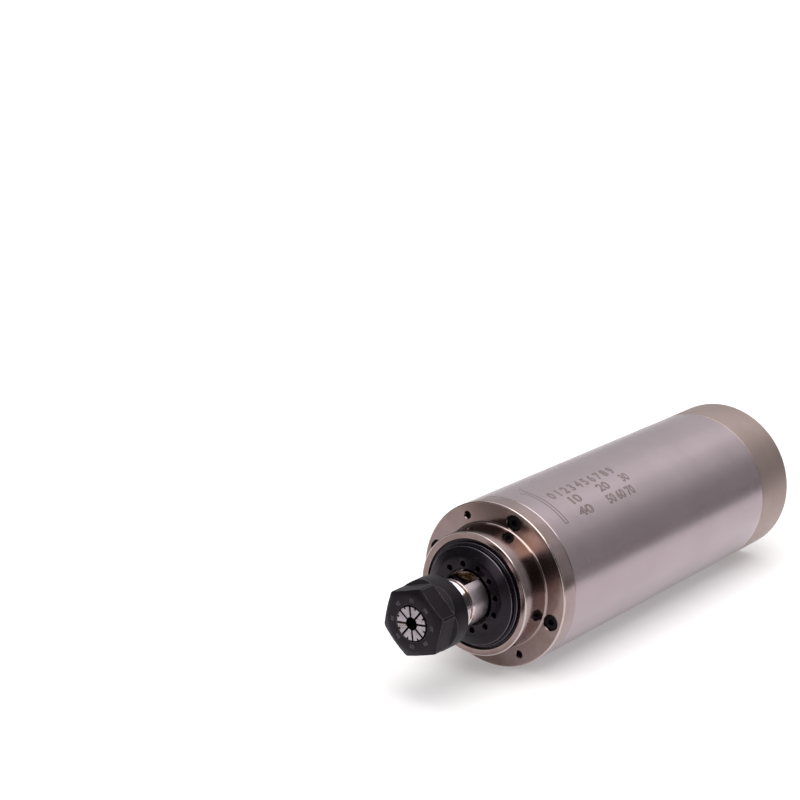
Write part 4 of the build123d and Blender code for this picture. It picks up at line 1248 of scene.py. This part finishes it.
def hoseNut(name):
    d = gripNut

    def grip(x, r, a):
        onGrip = r > d["radius"] - 0.2 and x > d["gripEnd"] - 0.1
        return d["gripDepth"] * max(0.0, math.cos(a * d["grip"])) ** 2 if onGrip else 0

    return lathe(name, [
        (d["front"], d["thread"]),
        (d["front"], d["radius"] - 0.4),
        (d["front"] - 0.4, d["radius"]),
        (d["front"] - 1.0, d["radius"]),
        (d["gripEnd"], d["radius"]),
        (d["gripEnd"] - 0.5, d["radius"]),
        (d["end"] + 0.3, d["mouth"] + 0.5),
        (d["end"], d["mouth"] + 0.2),
        (d["end"] + 0.1, d["mouth"]),
        (d["end"] + 2, d["mouth"]),
        (d["end"] + 2.35, d["thread"] - 0.05),
    ], 240, grip)


for side, angle in fittingAngles.items():
    fitting = moveTo(hoseFitting(side + "HoseFitting"), rearReach["fitting"], angle)
    fit(fitting, platedBrass, "housing", "plated_brass", side + "_hose_fitting")
    ringNut = moveTo(hoseNut(side + "HoseNut"), rearReach["fitting"], angle)
    fit(ringNut, platedBrass, "housing", "plated_brass", side + "_hose_nut")
print("hose fittings ready")


plug = {
    "outside": 8.0, "threadDepth": 0.35, "pitch": 1.0, "ridge": 0.3, "bore": 6.5, "end": -222.5,
    "panel": -210.0, "collar": 9.5, "collarTo": -207.5, "tail": -203.5, "tailReach": 7.5,
    "key": 0.8, "keyReach": (-6.7, -5.9), "keyLength": (1.2, 7.0),
    "pins": 4, "pinReach": 3.3, "pin": 0.9, "pinTip": -221.0, "pinEnd": -200.5,
}


def connectorShell():
    d = plug
    root = d["outside"] - d["threadDepth"]
    piece = lathe("connectorShell", [
        (d["end"], d["bore"] + 0.2),
        (d["end"], root - 0.25),
        (d["end"] + 0.5, root),
        (d["panel"], root),
        (d["panel"], d["collar"]),
        (d["collarTo"], d["collar"]),
        (d["collarTo"], d["tailReach"]),
        (d["tail"], d["tailReach"]),
        (d["tail"], d["bore"]),
        (d["end"] + 0.2, d["bore"]),
    ], 96)
    ridge = threadRidge("ridge", d["end"] + 0.8, d["panel"] - 0.5, d["outside"], d["pitch"], d["ridge"],
                        platedBrass)
    half, (low, high) = d["key"], d["keyReach"]
    fromX, toX = [d["end"] + along for along in d["keyLength"]]
    key = prismAlong("key", [(-half, low), (half, low), (half, high), (-half, high)], fromX, toX)
    return joined("connectorShell", [piece, ridge, key])


def pinPiece():
    d = plug
    return lathe("pin", [
        (d["pinTip"], 0), (d["pinTip"], 0.35), (d["pinTip"] + 0.1, 0.6), (d["pinTip"] + 0.5, 0.85),
        (d["pinTip"] + 0.8, d["pin"]), (d["pinEnd"], d["pin"]), (d["pinEnd"], 0),
    ], 24)


shell = moveTo(connectorShell(), rearReach["connector"], clock)
fit(shell, platedBrass, "housing", "plated_brass", "connector_shell")
pins = ringOf("connectorPins", pinPiece(), plug["pins"], plug["pinReach"], 45 + clock, bareBrass)
fit(moveTo(pins, rearReach["connector"], clock), bareBrass, "housing", "gold_brass", "connector_pins")
print("connector ready")


balls = {
    "front": {"radius": 3.175, "pitchRadius": 18.0, "count": 13, "rows": (0.5, -14.5)},
    "rear": {"radius": 2.381, "pitchRadius": 11.75, "count": 11, "rows": (-171.8, -180.8)},
}


def ballSet(end):
    d = balls[end]
    rows = []
    for x in d["rows"]:
        ball = lathe("ball", arcPoints(x, 0, d["radius"], 0, 180, 16), 32)
        rows.append(ringOf("ballRing", ball, d["count"], d["pitchRadius"], 0.0, bearingSteel))
    return joined(end + "Balls", rows)


for end in balls:
    fit(ballSet(end), bearingSteel, end + "_cages", "bearing_steel", end + "_balls")
print("balls ready")


# what isn't seen from outside keeps its solid's shape
keptSolids = [
    (machinedAluminium, ("water_jacket", "rear_bearing_bracket")),
    (castAluminium, ("rotor_cage",)),
    (sealRubber, ("jacket_seals", "spigot_seals")),
    (leadRubber, ("connector_leads",)),
    (laminations, ("stator_core", "rotor_core")),
    (copperWire, ("stator_winding",)),
    (springSteel, ("preload_spring",)),
    (groundSteel, ("front_lock_nut", "rear_lock_nut")),
    (bareBrass, ("balance_rings",)),
    (phenolic, ("front_ball_cages", "rear_ball_cages")),
    (blackPlastic, ("connector_insert",)),
    (platedBrass, ("connector_lock_nut",)),
    (redFibre, ("inlet_fitting_washer", "outlet_fitting_washer")),
    (bearingSteel, ("front_outer_rings", "rear_outer_rings", "front_inner_rings", "rear_inner_rings",
                    "front_outer_spacer", "front_inner_spacer")),
]
for finish, names in keptSolids:
    for name in names:
        mesh = cadNodes[name].data
        mesh.materials.clear()
        mesh.materials.append(finish)
print("kept solids painted")


stage = {
    "floor": -40.0, "size": 16.0, "color": (0.86, 0.85, 0.85), "pastColor": (0.22, 0.21, 0.21), "rough": 0.9,
    "glow": 0.26, "farGlow": 0.8, "fade": (0.4, 1.4),
    "mirrorGlow": 0.05, "nearGlow": 0.26, "nearSide": (0.03, 0.065), "mirrorLoss": 0.12,
    "whiteSide": (0.19, 0.23), "whiteFront": (0.27, 0.33),
}


def floorFinish():
    # seen or mirrored, the floor is a little brighter than its own shade, so that it reads as white;
    # in a mirror its white ends beside the part, as the sheet in a studio does
    d = stage
    f = Finish("paleFloor", d["color"], 0.0, d["rough"], Specular_IOR_Level=0.1)
    path = f.node("ShaderNodeLightPath")
    rays = ("Is Camera Ray", "Is Glossy Ray", "Is Transmission Ray")
    camera, glossy, through = [f.line(path, ray) for ray in rays]
    past = (f.y.between(*d["whiteSide"]) + f.x.between(*d["whiteFront"])).clamp()
    past = (past + d["mirrorLoss"]).clamp() * glossy
    near = (1 - f.y.maths("ABSOLUTE").between(*d["nearSide"])) * d["nearGlow"]
    mirrored = glossy * (1 - past) * (near + d["mirrorGlow"])
    # far from the part the camera sees plain white, so that no edge shows
    far = ((f.x * f.x + f.y * f.y) ** 0.5).between(*d["fade"]) * camera * d["farGlow"]
    seen = (camera + through).clamp() * d["glow"]
    strength = d["glow"] + d["farGlow"]
    f.shader.inputs["Emission Strength"].default_value = strength
    f.set("Emission Color", f.mix((seen + mirrored + far) / strength, (0, 0, 0), (1, 1, 1)))
    f.set("Base Color", f.mix(past, d["color"], d["pastColor"]))
    return f.material


def buildStage():
    half = stage["size"] / 2
    z = stage["floor"] * mm
    mesh = bpy.data.meshes.new("floor")
    corners = [(-half, -half, z), (half, -half, z), (half, half, z), (-half, half, z)]
    mesh.from_pydata(corners, [], [(0, 1, 2, 3)])
    mesh.materials.append(floorFinish())
    floor = newObject("floor", mesh)


lamp = {"at": (0.15, -0.05, 1.3), "aim": (-0.08, 0, 0), "size": (2.2, 0.7), "power": 5.5}


def buildLamp():
    light = bpy.data.lights.new("topLight", "AREA")
    light.shape = "RECTANGLE"
    light.size, light.size_y = lamp["size"]
    light.energy = lamp["power"]
    hung = newObject("topLight", light)
    hung.location = lamp["at"]
    hung.rotation_mode = "QUATERNION"
    hung.rotation_quaternion = (Vector(lamp["aim"]) - Vector(lamp["at"])).to_track_quat("-Z", "Y")


# a studio: dark on the side of the camera, a soft bright band overhead, middling grey beyond;
# the stops are an angle about the X axis, from the horizon at +Y over the top to -Y, and a tone
studio = {
    "beyond": [(0, 0.28), (22, 0.28), (38, 0.36), (54, 0.55), (70, 0.68), (86, 0.90), (104, 0.80),
               (128, 0.62), (156, 0.54), (180, 0.50)],
    "nearby": [(0, 0.06), (24, 0.04), (46, 0.07), (50, 0.3), (55, 2.1), (102, 2.1), (110, 0.6),
               (119, 0.14), (180, 0.11)],
    "tint": (1.0, 0.975, 0.98), "blend": (-0.6, 0.2), "strength": 1.1,
}


def buildWorld():
    world = bpy.data.worlds.new("studio")
    bpy.context.scene.world = world
    world.use_nodes = True
    world.node_tree.nodes.clear()
    w = Shading(world.node_tree)
    x, y, z = w.apart(w.line(w.node("ShaderNodeTexCoord"), "Generated"))
    turn = z.maths("ABSOLUTE").maths("ARCTAN2", y) / math.pi
    sides = []
    for name in ("beyond", "nearby"):
        stops = [(angle / 180, (*(tone * c for c in studio["tint"]), 1)) for angle, tone in studio[name]]
        sides.append(w.line(w.node("ShaderNodeValToRGB", {"stops": stops}, {"Fac": turn})))
    tone = w.mix(x.between(*studio["blend"]), *sides)
    light = w.node("ShaderNodeBackground", {}, {"Color": tone, "Strength": studio["strength"]})
    white = w.node("ShaderNodeBackground", {}, {"Color": (1, 1, 1, 1)})
    camera = w.line(w.node("ShaderNodeLightPath"), "Is Camera Ray")
    both = w.node("ShaderNodeMixShader", {}, {0: camera, 1: w.line(light), 2: w.line(white)})
    w.node("ShaderNodeOutputWorld", {}, {"Surface": w.line(both)})


shot = {
    "at": (733.35, 520.44, 339.81), "ahead": (-0.75775, -0.59459, -0.26885),
    "right": (-0.61731, 0.78672, 0.0), "up": (-0.21151, -0.16596, 0.96318), "lens": 92.6, "sensor": 36.0,
}


def buildCamera():
    data = bpy.data.cameras.new("shotCamera")
    data.lens = shot["lens"]
    data.sensor_width = shot["sensor"]
    camera = newObject("shotCamera", data)
    turn = Matrix((Vector(shot["right"]), Vector(shot["up"]), -Vector(shot["ahead"]))).transposed()
    camera.matrix_world = Matrix.Translation(Vector(shot["at"]) * mm) @ turn.to_4x4()
    bpy.context.scene.camera = camera


buildStage()
buildWorld()
buildLamp()
buildCamera()
bpy.context.scene.view_settings.view_transform = "Standard"

print("scene ready")
